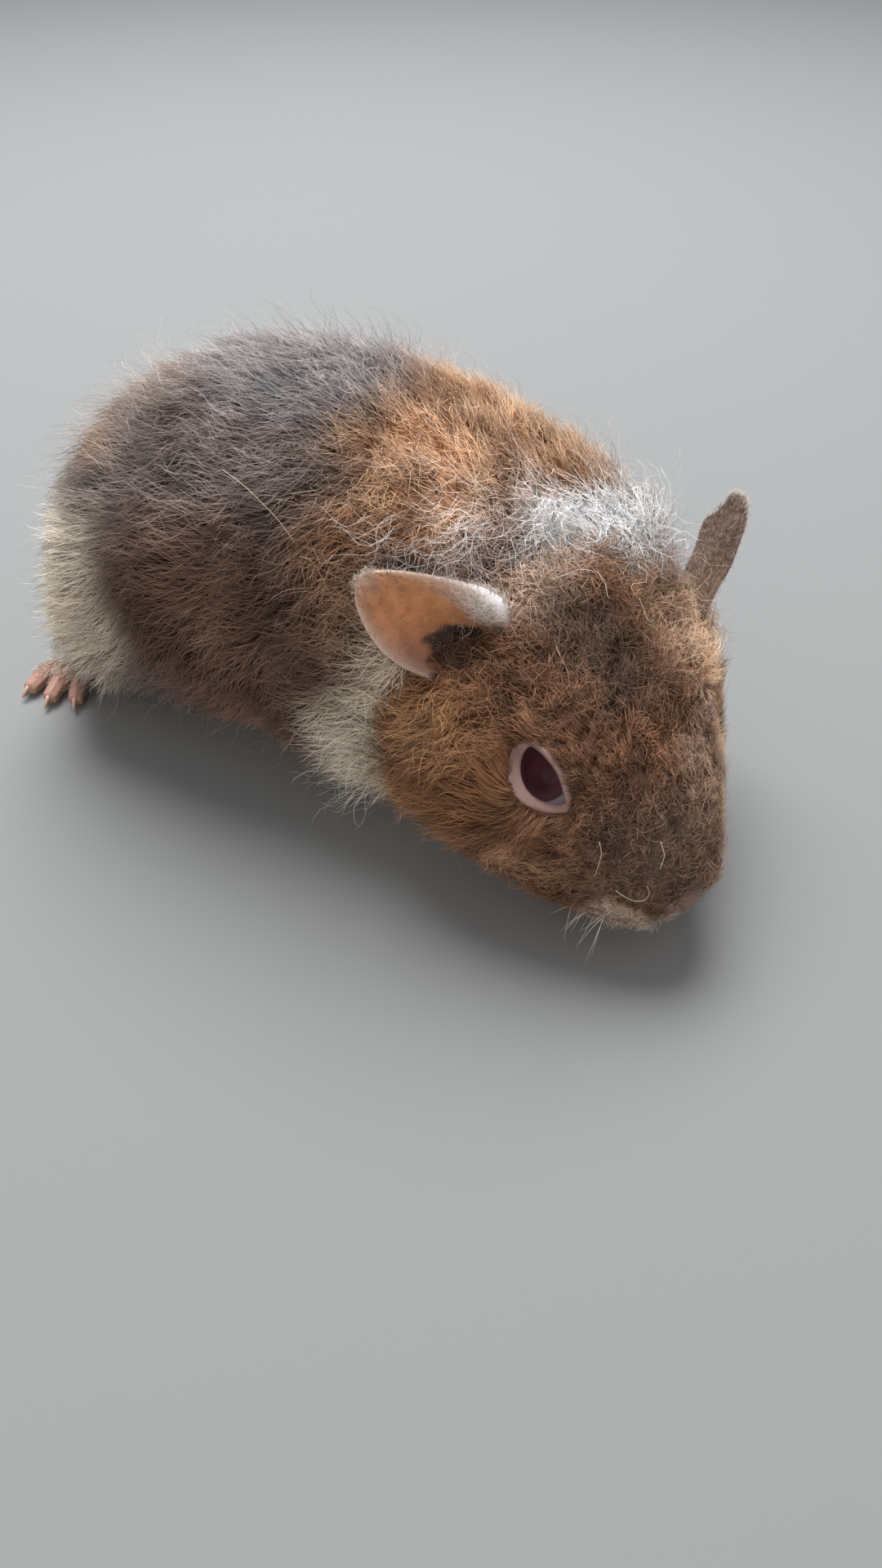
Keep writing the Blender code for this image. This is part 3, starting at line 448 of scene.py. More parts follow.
def material(name, colour=None, roughness=0.6, **inputs):
    made = bpy.data.materials.new(name)
    made.use_nodes = True
    shader = made.node_tree.nodes["Principled BSDF"]
    if colour:
        shader.inputs["Base Color"].default_value = (*colour, 1.0)
    shader.inputs["Roughness"].default_value = roughness
    for key, value in inputs.items():
        shader.inputs[key.replace("_", " ")].default_value = value
    return made, shader


def from_attribute(made, shader, attribute):
    nodes = made.node_tree.nodes
    reader = nodes.new("ShaderNodeVertexColor")
    reader.layer_name = attribute
    made.node_tree.links.new(reader.outputs["Color"], shader.inputs["Base Color"])


def add_bump(made, shader, scale, strength, distance):
    nodes, links = made.node_tree.nodes, made.node_tree.links
    place = nodes.new("ShaderNodeTexCoord")
    noise = nodes.new("ShaderNodeTexNoise")
    noise.inputs["Scale"].default_value = scale
    noise.inputs["Detail"].default_value = BUMP_DETAIL
    bump = nodes.new("ShaderNodeBump")
    bump.inputs["Strength"].default_value = strength
    bump.inputs["Distance"].default_value = distance
    links.new(place.outputs["Object"], noise.inputs["Vector"])
    links.new(noise.outputs["Fac"], bump.inputs["Height"])
    links.new(bump.outputs["Normal"], shader.inputs["Normal"])


def colour_points(made, colours):
    layer = made.data.color_attributes.new("coat", "FLOAT_COLOR", "POINT")
    opaque = np.column_stack([colours, np.ones(len(colours))])
    layer.data.foreach_set("color", opaque.astype(np.float32).ravel())
    made.data.color_attributes.render_color_index = 0


def wear(made, made_material, slot, *replaced):
    made.data.materials.clear()
    made.data.materials.append(made_material)
    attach(made, "root")
    if replaced:
        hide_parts(*replaced)


# Skin

def node_data(name):
    """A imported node's mesh, back in body millimetres."""
    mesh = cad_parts[name].data
    points = np.empty(len(mesh.vertices) * 3)
    mesh.vertices.foreach_get("co", points)
    faces = [tuple(polygon.vertices) for polygon in mesh.polygons]
    return points.reshape(-1, 3) / MM + SHIFT * (1, 1, 0), faces


def as_is(points):
    return np.atleast_2d(points).astype(float)


def eye_axes(side):
    return axes_from(mirrored(EYE_AXIS, side), EYE_ALONG)


def in_eye(head_points, side):
    """Places in the eye's own frame: toward the nose, up the lid, out of the eye."""
    return (head_points - mirrored(EYE_CENTRE, side)) @ eye_axes(side)


def eye_distance(head_points):
    """How far each place of the head lies from the nearer eye's middle."""
    away = [np.linalg.norm(head_points - mirrored(EYE_CENTRE, side), axis=1) for side in (-1, 1)]
    return np.min(away, axis=0)


def head_share(head_points):
    """The skin rises to the outline round the eyes, where the coat is shortest."""
    return SKIN_SHARE - EYE_RISE * np.exp(-(eye_distance(head_points) / EYE_RISE_REACH) ** 2)


def body_share(points):
    return np.full(len(points), SKIN_SHARE)


def almond_distance(spots):
    """How far outside the eye's opening each flat place lies, below 0 inside it."""
    return np.linalg.norm(spots, axis=1) - np.linalg.norm(almond(around(spots)), axis=1)


def lid_width(turn):
    """The lids' width all round, against their profile: less toward the crown and the nose."""
    return 1.04 - 0.22 * np.sin(turn) - 0.10 * np.cos(turn)


def around(spots):
    """The turn round the eye's opening of flat places."""
    return np.arctan2(spots[:, 1] / EYE_OPENING[1], spots[:, 0] / EYE_OPENING[0])


def rim_height(turn):
    """How high the ball stands at the opening's edge."""
    return np.sqrt(EYE_RADIUS ** 2 - (almond(turn) ** 2).sum(axis=1))


def almond(turn):
    """The opening's edge: pointed at the corner toward the nose."""
    pinch = 1.0 - 0.42 * np.maximum(np.cos(turn), 0.0) ** 2 - 0.16 * np.minimum(np.cos(turn), 0.0) ** 2
    return np.stack([EYE_OPENING[0] * np.cos(turn), EYE_OPENING[1] * np.sin(turn) * pinch], axis=1)


def head_ball(centre, radii, axes=None, segments=32, rings=20):
    axes = np.eye(3) if axes is None else axes
    points, faces = ball_data(np.array(centre, float), radii, axes, segments, rings)
    return in_head(points), faces


def make_skin():
    parts = [form_data(TRUNK, as_is, body_share), form_data(HEAD, in_head, head_share)]
    for middle, sizes in HAUNCHES:
        parts.append(ball_data(np.array(middle), np.array(sizes) - HAUNCH_INSET, np.eye(3)))
    for side in (-1, 1):
        parts.append(head_ball(mirrored(UPPER_LIP[0], side), UPPER_LIP[1]))
        parts.append(head_ball(mirrored(EYE_CENTRE, side), (EYE_RADIUS + BALL_COVER,) * 3))
    parts.append(head_ball(*LOWER_LIP))
    for name in ("foreleg_left", "foreleg_right"):
        parts.append(node_data(name))
    made = remeshed(mesh_piece("skin", *joined(parts)), SKIN_VOXEL, SKIN_SMOOTHING)
    set_points(made, socketed(mesh_points(made)))
    return made


# how far the skin lies behind the ball and under the lids, how steeply it rises from the
# opening's edge, how far out that starts, and how far from the eye it may be drawn in
BEHIND_BALL = 0.7
LID_SEAT = 0.5
SOCKET_SLOPE = 1.3
SOCKET_EDGE = 0.3
SOCKET_REACH = 9.5


def socketed(points):
    """The skin drawn in to each eye's lids, and behind the ball where the eye is open."""
    head_points = to_head(points)
    for side in (-1, 1):
        local = in_eye(head_points, side)
        spread = np.linalg.norm(local[:, :2], axis=1)
        beyond = almond_distance(local[:, :2])
        behind = np.sqrt(np.maximum((EYE_RADIUS - BEHIND_BALL) ** 2 - spread ** 2, 0))
        slope = rim_height(around(local[:, :2])) - LID_SEAT
        slope = slope + SOCKET_SLOPE * np.maximum(beyond - SOCKET_EDGE, 0)
        most = np.where(beyond < SOCKET_EDGE, np.minimum(behind, slope), slope)
        sunk = (local[:, 2] > most) & (spread < SOCKET_REACH)
        local[sunk, 2] = most[sunk]
        head_points = local @ eye_axes(side).T + mirrored(EYE_CENTRE, side)
    return in_head(head_points)


def mesh_points(made):
    points = np.empty(len(made.data.vertices) * 3)
    made.data.vertices.foreach_get("co", points)
    return points.reshape(-1, 3) / MM + SHIFT * (1, 1, 0)


def set_points(made, points):
    made.data.vertices.foreach_set("co", to_row(points).astype(np.float32).ravel())
    made.data.update()


skin = make_skin()
colour_points(skin, coat_colours(mesh_points(skin))[0])
skin_material, skin_shader = material("guinea_pig_skin", roughness=0.8)
from_attribute(skin_material, skin_shader, "coat")
add_bump(skin_material, skin_shader, 900.0, 0.6, 0.0006)
FLESH_NODES = (
    "head", "neck", "torso", "hindquarters",
    "hindleg_left", "hindleg_right", "foreleg_left", "foreleg_right",
)
wear(skin, skin_material, "coat_rust", *FLESH_NODES)


def ear_axes(name):
    _, along, opening, _ = EARS[name]
    length_axis = unit(np.array(along))
    face_axis = np.array(opening) - length_axis * length_axis.dot(opening)
    face_axis = unit(face_axis)
    lower_axis = np.cross(face_axis, length_axis)
    return np.stack([length_axis, lower_axis if name == "right" else -lower_axis, face_axis], axis=1)


def ear_reach(name, t):
    """How far the ear's upper and lower edges reach at t, rounded off."""
    edges = EAR_EDGES[name]
    steps = np.linspace(-EAR_ROUNDING, EAR_ROUNDING, 5)

    def reach(k):
        return np.mean([np.interp(t + step, edges[:, 0], edges[:, k]) for step in steps], axis=0)

    return reach(1), reach(2)


# Coat

# levels along a hair, half width, waves along it, the waves' height, drift along the
# lie, how loosely it lies, how far it gathers into its lock, how light its tip is,
# how far it stands off the skin, and how uneven its shade is
UNDERCOAT = dict(levels=2, width=0.135, waves=0.5, wave=0.10, drift=6.2, loose=0.50, gather=0.45, tip=0.55,
                 stand=0.92, uneven=0.14)
GUARD = dict(levels=4, width=0.060, waves=1.3, wave=0.120, drift=7.8, loose=0.66, gather=0.30, tip=1.0,
             stand=1.0, uneven=0.20)
KINKY = dict(levels=8, width=0.056, waves=1.9, wave=0.130, drift=8.6, loose=0.80, gather=0.30, tip=1.1,
             stand=1.08, uneven=0.28)
FUZZ = dict(levels=7, width=0.056, waves=1.6, wave=0.140, drift=7.0, loose=0.95, gather=0.20, tip=1.0,
            stand=1.7, uneven=0.20)
STRAY = dict(levels=8, width=0.056, waves=1.2, wave=0.120, drift=10.0, loose=1.0, gather=0.0, tip=1.25,
             stand=1.25, uneven=0.25)
WISP = dict(levels=9, width=0.052, waves=1.6, wave=0.085, drift=15.0, loose=0.50, gather=0.25, tip=1.0,
            stand=1.3, uneven=0.15, pale=0.85)
LASH = dict(levels=4, width=0.070, waves=0.6, wave=0.050, drift=7.0, loose=0.30, gather=0.0, tip=0.95,
            stand=1.0, uneven=0.20)
EAR_HAIR = dict(levels=3, width=0.052, waves=0.8, wave=0.22)
LOCK_COUNT = 5200
MOST_TRIANGLES = 195000
# how far along a hair its middle's and its tip's colours are read
MIDWAY = 0.35
TIPWARD = 0.55
# how much a hair narrows to its tip, how flat it is, and how deep its root is sunk
HAIR_TAPER = 0.85
HAIR_FLATNESS = 0.7
ROOT_SUNK = 0.4
LEAST_HEIGHT = 0.35

# where the coat is longer: the place, its size, and how much longer
LONGER = (
    ((38.0, 0.0, 54.0), 13.0, 0.25),
    ((6.0, -27.0, 16.0), 15.0, 0.55),
    (in_head((13.0, 17.0, 17.0))[0], 9.0, 0.80),
    (in_head((7.0, 2.0, 20.0))[0], 11.0, 0.45),
    ((-61.0, -8.0, 16.0), 10.0, 0.35),
    ((-60.0, -14.0, 30.0), 12.0, 0.25),
    (in_head((14.0, -20.0, 13.0))[0], 4.5, -0.60),
)
# where long white hairs lie over the coat: the place and its size
WISPY = (
    ((21.0, -14.0, 58.0), 5.0),
    ((12.0, -19.0, 60.0), 3.0),
    ((2.0, -24.0, 57.0), 1.4),
    ((30.0, -8.0, 57.0), 4.0),
)
# where loose fuzz stands out of the coat: the place and its size
FUZZY = (
    (in_head((12.0, 15.0, 18.0))[0], 7.0),
    (in_head((20.0, 26.0, 10.0))[0], 5.0),
    (in_head((7.0, 0.0, 21.0))[0], 8.0),
    (in_head((19.0, -19.0, 14.0))[0], 4.5),
    ((40.0, 4.0, 52.0), 8.0),
    ((8.0, -29.0, 12.0), 11.0),
    ((-10.0, 5.0, 74.0), 16.0),
    ((-50.0, 2.0, 63.0), 12.0),
)


def vertex_normals(made):
    normals = np.empty(len(made.data.vertices) * 3)
    made.data.vertices.foreach_get("normal", normals)
    return normals.reshape(-1, 3)


def skin_triangles():
    mesh = skin.data
    mesh.calc_loop_triangles()
    corners = np.empty(len(mesh.loop_triangles) * 3, int)
    mesh.loop_triangles.foreach_get("vertices", corners)
    return mesh_points(skin), corners.reshape(-1, 3), vertex_normals(skin)


SKIN_POINTS, SKIN_TRIANGLES, SKIN_NORMALS = skin_triangles()


def scatter(count, chance, density):
    """Places on the skin with their normals, by area times density(points)."""
    a, b, c = (SKIN_POINTS[SKIN_TRIANGLES[:, k]] for k in range(3))
    areas = np.linalg.norm(np.cross(b - a, c - a), axis=1) * density((a + b + c) / 3)
    chosen = chance.choice(len(areas), count, p=areas / areas.sum())
    u, v = chance.random((2, count))
    flip = u + v > 1
    u[flip], v[flip] = 1 - u[flip], 1 - v[flip]
    weights = np.stack([1 - u - v, u, v], axis=1)[:, :, None]
    corners = SKIN_TRIANGLES[chosen]
    places, normals = ((values[corners] * weights).sum(axis=1) for values in (SKIN_POINTS, SKIN_NORMALS))
    return places, unit(normals)


def coat_density(points):
    on_head = headness(points)
    under = clipped(1.0 - points[:, 2] / 9.0)
    near_eye = clipped((12.0 - eye_distance(to_head(points))) / 5.0)
    return (1.0 + 0.7 * on_head + 1.8 * near_eye) * (1.0 - 0.55 * under) * hairy(points)


def body_density(points):
    return coat_density(points) * (1.0 - 0.75 * headness(points))


def head_density(points):
    shoulder = 0.30 * clipped((points[:, 0] + 10.0) / 20.0)
    return coat_density(points) * np.maximum(headness(points), shoulder)


def near_place(points, centre, size):
    return np.exp(-(np.linalg.norm(points - centre, axis=1) / size) ** 2)


def nearness(points, places):
    return np.max([near_place(points, centre, size) for centre, size in places], axis=0)


def fuzz_density(points):
    return nearness(points, FUZZY) * hairy(points) + 0.02


# the short hairs round the eyes: how far out of the opening most grow, how wide that
# band is, and how far from the eye's middle it ends
LASH_OUT = 2.0
LASH_BAND = 1.5
LASH_REACH = 11


def lash_density(points):
    """Close round both eyes."""
    head_points = to_head(points)
    beyond = [almond_distance(in_eye(head_points, side)[:, :2]) for side in (-1, 1)]
    band = np.max([np.exp(-((d - LASH_OUT) / LASH_BAND) ** 2) for d in beyond], axis=0)
    return np.where(eye_distance(head_points) < LASH_REACH, band, 0) * hairy(points)


def wisp_density(points):
    return nearness(points, WISPY)


def combed(points):
    """1 where hairs lie side by side, on the cheeks and the thighs, down to 0 on the curly crown."""
    head_points = to_head(points)
    aside = clipped((np.abs(head_points[:, 1]) - 8.0) / 14.0)
    cheek = aside * clipped((14.0 - head_points[:, 2]) / 10.0)
    flank = 0.30 * clipped((8.0 - points[:, 0]) / 20.0)
    body = flank + 0.5 * clipped((-40.0 - points[:, 0]) / 15.0)
    return mix(body, cheek, headness(points))


def lie_of(points, normals, on_head):
    """The way the coat lies: back and down, tousled, and away from each eye."""
    head_points = to_head(points)
    side = np.sign(head_points[:, 1])
    sideways = clipped(np.abs(head_points[:, 1]) / 20.0)
    head_lie = np.stack([-np.ones(len(points)), 0.25 * side * sideways, -0.45 * sideways], axis=1)
    near = clipped((14.0 - eye_distance(head_points)) / 8.0)[:, None]
    nearest = np.stack([np.full(len(points), EYE_CENTRE[0]), side * EYE_CENTRE[1],
                        np.full(len(points), EYE_CENTRE[2])], axis=1)
    head_lie = head_lie + 1.3 * near * unit(head_points - nearest)
    body_lie = np.stack([
        -np.ones(len(points)),
        0.10 * wander(points, 15.0, 41),
        -0.30 - 0.55 * clipped((50.0 - points[:, 2]) / 40.0),
    ], axis=1)
    lie = np.where(on_head[:, None] > 0.5, head_lie @ HEAD_AXES.T, body_lie)
    lie = unit(laid_along(lie, normals))
    swirl = (0.65 + 0.35 * on_head) * wander(points, 11.0, 43) + 0.45 * wander(points, 4.5, 44)
    swirl = swirl * (1.0 + 0.30 * on_head - 0.7 * combed(points))
    return turned(lie, normals, swirl)


def hair_size(points, on_head):
    """The coat's free depth above the skin, and its length against the longest."""
    head_points = to_head(points)
    _, head_coat = form_depth(HEAD, head_points)
    _, trunk_coat = form_depth(TRUNK, points)
    depth = np.where(on_head > 0.5, head_coat * head_share(head_points), trunk_coat * SKIN_SHARE)
    face = clipped((head_points[:, 0] - 28.0) / 28.0)
    around_eye = clipped((eye_distance(head_points) - 6.4) / 6.0)
    length = np.where(on_head > 0.5, (0.94 - 0.42 * face) * (0.40 + 0.60 * around_eye), 1.0)
    for centre, size, more in LONGER:
        near = near_place(points, centre, size)
        length = length * (1 + more * near)
        depth = depth * (1 + 0.7 * more * near)
    return depth * (0.72 + 0.28 * clipped(length)), length


# the share along an ear from which its cup stays free of the coat, and half that room
CUP_FROM = 0.38
CUP_ROOM = 4
# the bare nose: its middle and half sizes
BARE_NOSE = ((60.8, 0.0, -2.7), (3.2, 3.8, 3.1))
SOLE_HEIGHT = 1.2


def kept_clear(points):
    """True where a place lies in front of an open eye or in an ear's cup."""
    head_points = to_head(points)
    result = np.zeros(len(points), bool)
    for side in (-1, 1):
        local = in_eye(head_points, side)
        open_eye = (almond_distance(local[:, :2]) < 0.4) & (local[:, 2] > 0)
        result |= open_eye & (eye_distance(head_points) < 12)
    for name, (root, _, _, length) in EARS.items():
        local = (head_points - root) @ ear_axes(name)
        upper, lower = ear_reach(name, local[:, 0] / length)
        across = (local[:, 1] > -upper - 0.5) & (local[:, 1] < lower + 0.5)
        along = (local[:, 0] > CUP_FROM * length) & (local[:, 0] < length + 1)
        result |= across & along & (np.abs(local[:, 2] - CUP_ROOM) < CUP_ROOM)
    return result


def hairy(points):
    """1 where tufts grow and 0 on the open eyes, the lids, the nose and the soles."""
    head_points = to_head(points)
    result = np.ones(len(points))
    for side in (-1, 1):
        local = in_eye(head_points, side)
        lids = almond_distance(local[:, :2]) < 1.1 * lid_width(around(local[:, :2]))
        result[lids & (local[:, 2] > 0) & (eye_distance(head_points) < 9)] = 0
    place, size = BARE_NOSE
    nose = np.linalg.norm((head_points - place) / size, axis=1) < 1
    result[nose | (points[:, 2] < SOLE_HEIGHT)] = 0
    return result


def unwrap(points, on_head):
    """Each place on a flat map of the skin: along the form, and around it."""
    head_points = to_head(points)
    result = np.empty((len(points), 2))
    for mask, places, rows, low, size in (
        (on_head <= 0.5, points, TRUNK, 0.01, 0.56),
        (on_head > 0.5, head_points, HEAD, 0.60, 0.38),
    ):
        part = places[mask]
        s = (part[:, 0] - rows[0, 0]) / (rows[-1, 0] - rows[0, 0])
        middle = row_at(rows, clipped(s))
        angle = np.arctan2(part[:, 2] - (middle[:, 2] + middle[:, 3]) / 2, part[:, 1] - middle[:, 1])
        around_it = 0.01 + 0.98 * (angle / (2 * np.pi) + 0.5)
        result[mask] = np.stack([low + size * clipped(s), around_it], axis=1)
    return result


class Locks:
    """Seeds whose hairs share a swirl, a wave and a shade."""

    def __init__(self):
        chance = np.random.default_rng(SEED)
        self.roots, _ = scatter(LOCK_COUNT, chance, coat_density)
        self.phase = chance.uniform(0, 2 * np.pi, LOCK_COUNT)
        self.swirl = chance.normal(0, 0.30, LOCK_COUNT)
        self.shade = chance.normal(0, 0.19, LOCK_COUNT)
        self.lift = chance.uniform(0.8, 1.1, LOCK_COUNT)
        self.tree = KDTree(LOCK_COUNT)
        for i, point in enumerate(self.roots):
            self.tree.insert(point, i)
        self.tree.balance()

    def owners(self, points):
        return np.array([self.tree.find(point)[1] for point in points])


LOCKS = Locks()


def make_coat(name, kind, count, density, seed):
    """Hairs or tufts over the skin, in pieces of few enough triangles."""
    chance = np.random.default_rng(seed)
    roots, normals = scatter(count, chance, density)
    owner = LOCKS.owners(roots)
    on_head = headness(roots)
    lie = lie_of(roots, normals, on_head)
    near_eye = np.clip((eye_distance(to_head(roots)) - 6.0) / 6.0, 0.35, 1)
    curly = (1.0 + 0.40 * on_head - combed(roots)) * near_eye
    tufted = on_head * (1.0 - 0.5 * combed(roots))
    loose = chance.normal(0, kind["loose"], count) * (1.0 - 0.40 * tufted)
    swirl = (LOCKS.swirl[owner] * (1.0 + 1.2 * tufted) + loose) * curly
    lie = turned(lie, normals, swirl)
    depth, length = hair_size(roots, on_head)
    depth = depth * kind["stand"]
    size = chance.uniform(0.72, 1.12, count)
    gather = laid_along(LOCKS.roots[owner] - roots, normals)
    drift = kind["drift"] * length * size * (1.25 - 0.25 * curly)
    near_skin, midway = (coat_colours(roots + lie * (u * drift)[:, None])[0] for u in (0.0, MIDWAY))
    at_tips = coat_colours(roots + lie * (TIPWARD * drift)[:, None])[1]
    near_skin = 0.5 * near_skin + 0.5 * midway
    near_skin, at_tips = (mix(colours, WHITE, kind.get("pale", 0.0)) for colours in (near_skin, at_tips))
    lock_shade = LOCKS.shade[owner] * (1.0 + 0.4 * tufted)
    shade = np.clip(1.0 + lock_shade + chance.normal(0, kind["uneven"], count), 0.45, 1.8)[:, None]
    tufts(
        name, kind, roots, normals, lie,
        rise=depth * size * LOCKS.lift[owner], drift=drift,
        width=kind["width"] * (0.5 + 0.5 * length) * chance.uniform(0.8, 1.2, count),
        phase=LOCKS.phase[owner] + chance.normal(0, 0.7, count) * (1.0 - 0.45 * tufted),
        wave=(kind["wave"] * kind["drift"] * (0.4 + 0.6 * length)
              * chance.uniform(0.5, 1.4, count) * curly),
        gather=gather * (kind["gather"] * (1.0 + tufted))[:, None],
        near_skin=near_skin * shade, at_tips=at_tips * shade, uv=unwrap(roots, on_head),
        order=roots[:, 0] + 200 * (on_head > 0.5),
    )


def tufts(name, kind, roots, normals, lie, rise, drift, width, phase, wave, gather, near_skin, at_tips,
          uv, order):
    """Closed tapering hairs, three sided, each a chain of rings from root to tip."""
    count = len(roots)
    levels = kind["levels"]
    across = np.cross(normals, lie)
    turn = np.linspace(0, 2 * np.pi, 3, endpoint=False)
    shares = np.linspace(0, 1, levels + 1)
    path = []
    for u in shares:
        bend = np.sin(2 * np.pi * kind["waves"] * u + phase) * wave * min(1.0, 2.5 * u)
        lift = np.cos(2 * np.pi * kind["waves"] * u + phase) * wave * 0.6 * min(1.0, 1.6 * u)
        step = rise * (1 - (1 - u) ** 1.7) - ROOT_SUNK * (u == 0) + lift
        path.append(roots + normals * step[:, None] + lie * (drift * u ** 1.2)[:, None]
                    + across * bend[:, None] + gather * u ** 1.2)
    points = np.empty((count, 3 * levels + 1, 3))
    for k in range(levels):
        forward = unit(path[k + 1] - path[k])
        sideways = unit(np.cross(forward, normals))
        upward = np.cross(sideways, forward)
        half = (width * (1 - HAIR_TAPER * shares[k]) ** 0.8)[:, None]
        for i, a in enumerate(turn):
            across_hair = np.cos(a) * sideways + HAIR_FLATNESS * np.sin(a) * upward
            points[:, 3 * k + i] = path[k] + half * across_hair
    points[:, -1] = path[-1]
    points[:, :, 2] = np.maximum(points[:, :, 2], LEAST_HEIGHT)

    along = np.array(np.repeat(shares[:-1], 3).tolist() + [1.0])
    fade = clipped(along * 1.3 - 0.05)[None, :, None] * kind.get("tip", 1.0)
    # painted shade: each hair darker toward its root, where the coat is deepest
    painted_root_shade = 0.65 + 0.35 * clipped(along * 2.2)[None, :, None]
    colours = mix(near_skin[:, None], at_tips[:, None], fade) * painted_root_shade
    patch = np.stack([0.0012 * np.cos(np.append(np.tile(turn, levels), 0.0)) * (1 - along),
                      0.0024 * along - 0.0012], axis=1)
    uvs = uv[:, None] + patch[None]

    faces = [(0, 2, 1)]
    for k in range(levels - 1):
        for i in range(3):
            a, b = 3 * k + i, 3 * k + (i + 1) % 3
            faces += [(a, b, b + 3), (a, b + 3, a + 3)]
    last = 3 * (levels - 1)
    faces += [(last + i, last + (i + 1) % 3, 3 * levels) for i in range(3)]
    faces = np.array(faces)

    per_piece = MOST_TRIANGLES // len(faces)
    clear = ~np.any([kept_clear(place) for place in path[1:]], axis=0) | (kind is EAR_HAIR)
    order = np.argsort(order, kind="stable")
    order = order[clear[order]]
    for number, start in enumerate(range(0, len(order), per_piece)):
        chosen = order[start:start + per_piece]
        triangles = (np.arange(len(chosen))[:, None, None] * points.shape[1] + faces[None]).reshape(-1, 3)
        tuft_piece(f"{name}_{number}", points[chosen].reshape(-1, 3), triangles,
                   colours[chosen].reshape(-1, 3), uvs[chosen].reshape(-1, 2))


def tuft_piece(name, points, triangles, colours, uvs):
    mesh = bpy.data.meshes.new(name)
    mesh.vertices.add(len(points))
    mesh.vertices.foreach_set("co", to_row(points).astype(np.float32).ravel())
    mesh.loops.add(triangles.size)
    mesh.loops.foreach_set("vertex_index", triangles.astype(np.int32).ravel())
    mesh.polygons.add(len(triangles))
    mesh.polygons.foreach_set("loop_start", np.arange(0, triangles.size, 3, dtype=np.int32))
    mesh.update(calc_edges=True)
    mesh.shade_smooth()
    layer = mesh.uv_layers.new(name="OFBake")
    layer.data.foreach_set("uv", uvs[triangles.ravel()].astype(np.float32).ravel())
    made = linked(name, mesh)
    colour_points(made, colours)
    wear(made, coat_material, "coat_ginger")


def short_hairs(name, kind, chance, roots, normals, lie, size, rise, drift, near_skin, at_tips,
                on_head, order):
    """Hairs that lie along the surface and gather into no lock."""
    count = len(roots)
    tufts(
        name, kind, roots, normals, unit(laid_along(lie, normals)),
        rise=rise * size, drift=drift * size, width=np.full(count, kind["width"]),
        phase=chance.uniform(0, 2 * np.pi, count), wave=kind["wave"] * size,
        gather=np.zeros_like(roots), near_skin=near_skin, at_tips=at_tips,
        uv=unwrap(roots, np.full(count, on_head)), order=order,
    )


coat_material, coat_shader = material("guinea_pig_coat", roughness=0.55, Specular_IOR_Level=0.35)
from_attribute(coat_material, coat_shader, "coat")
# each piece of coat: its kind, how many hairs, where they grow, and its seed after SEED
COATS = (
    ("undercoat", UNDERCOAT, 45500, coat_density, 1),
    ("guard_hair", GUARD, 18700, body_density, 2),
    ("kinky_hair", KINKY, 7800, head_density, 3),
    ("fuzz", FUZZ, 1900, fuzz_density, 4),
    ("round_the_eyes", LASH, 2000, lash_density, 10),
    ("stray_hair", STRAY, 380, body_density, 6),
    ("white_wisp", WISP, 150, wisp_density, 7),
)
for coat_name, kind, hair_count, density, own_seed in COATS:
    make_coat(coat_name, kind, hair_count, density, SEED + own_seed)


# Ears

EAR_GRID = (40, 32)
EAR_FLESH = (0.56, 0.240, 0.108)
EAR_LOWER = (0.33, 0.145, 0.100)
EAR_RIM = (0.74, 0.56, 0.46)
EAR_BEHIND = (0.17, 0.110, 0.082)
# painted shade in the ear's hollows and at its opening, on the shares along and across: the middle, the
# half sizes, the colour
EAR_SHADED_HOLLOWS = (
    ((0.23, 0.22), (0.15, 0.45), (0.05, 0.028, 0.022)),
    ((0.04, 0.10), (0.16, 0.9), (0.012, 0.007, 0.006)),
)


def ear_fold(name, t, w):
    """1 on the right ear's folded upper edge, near its root."""
    along = np.exp(-((t - 0.24) / 0.22) ** 2) * clipped(t / 0.18)
    return along * clipped((-w - 0.50) / 0.25) * (name == "right")


def make_ear(name):
    axes = ear_axes(name)
    root, length = np.array(EARS[name][0]), EARS[name][3]
    stations, columns = EAR_GRID
    front, back = [], []
    for r in range(stations):
        t = 1.0 - (1.0 - r / (stations - 1)) ** 1.3
        upper, lower = ear_reach(name, t)
        cup = EAR_CUP * (1.0 + 1.2 * (1 - t) ** 2)
        w = np.linspace(-1, 1, columns)
        reach = np.where(w > 0, lower, upper)
        turn = w * cup
        across = reach * np.sin(turn) / math.sin(cup)
        ripple = 0.18 * np.sin(9 * t + 3 * w) + 0.12 * np.sin(17 * w + 4 * t)
        rise = reach * (1 - np.cos(turn)) * 0.8 + ripple * (1 - 0.4 * t)
        line = np.stack([np.full(columns, length * t), across, rise - 1.6 * t * t], axis=1)
        middle = root + line @ axes.T
        normal = np.stack([np.zeros(columns), -np.sin(turn), np.cos(turn)], axis=1) @ axes.T
        blade = EAR_THICK * (1.25 - 0.6 * t) * (1 - 0.45 * w ** 4) / 2
        thick = (blade + 0.8 * ear_fold(name, t, w))[:, None]
        front.append(middle + normal * thick)
        back.append(middle - normal * thick)
    rings = [in_head(np.concatenate([f, b[::-1]])) for f, b in zip(front, back)]
    points, faces = loft_data(rings, in_head(root)[0], rings[-1].mean(axis=0))
    return mesh_piece(f"ear_{name}_skin", points, faces)


def ear_places(name, points):
    """Points in the ear's own frame, and their shares along it and across it."""
    local = (to_head(points) - EARS[name][0]) @ ear_axes(name)
    t = clipped(local[:, 0] / EARS[name][3])
    upper, lower = ear_reach(name, t)
    return local, t, np.where(local[:, 1] > 0, local[:, 1] / lower, local[:, 1] / upper)


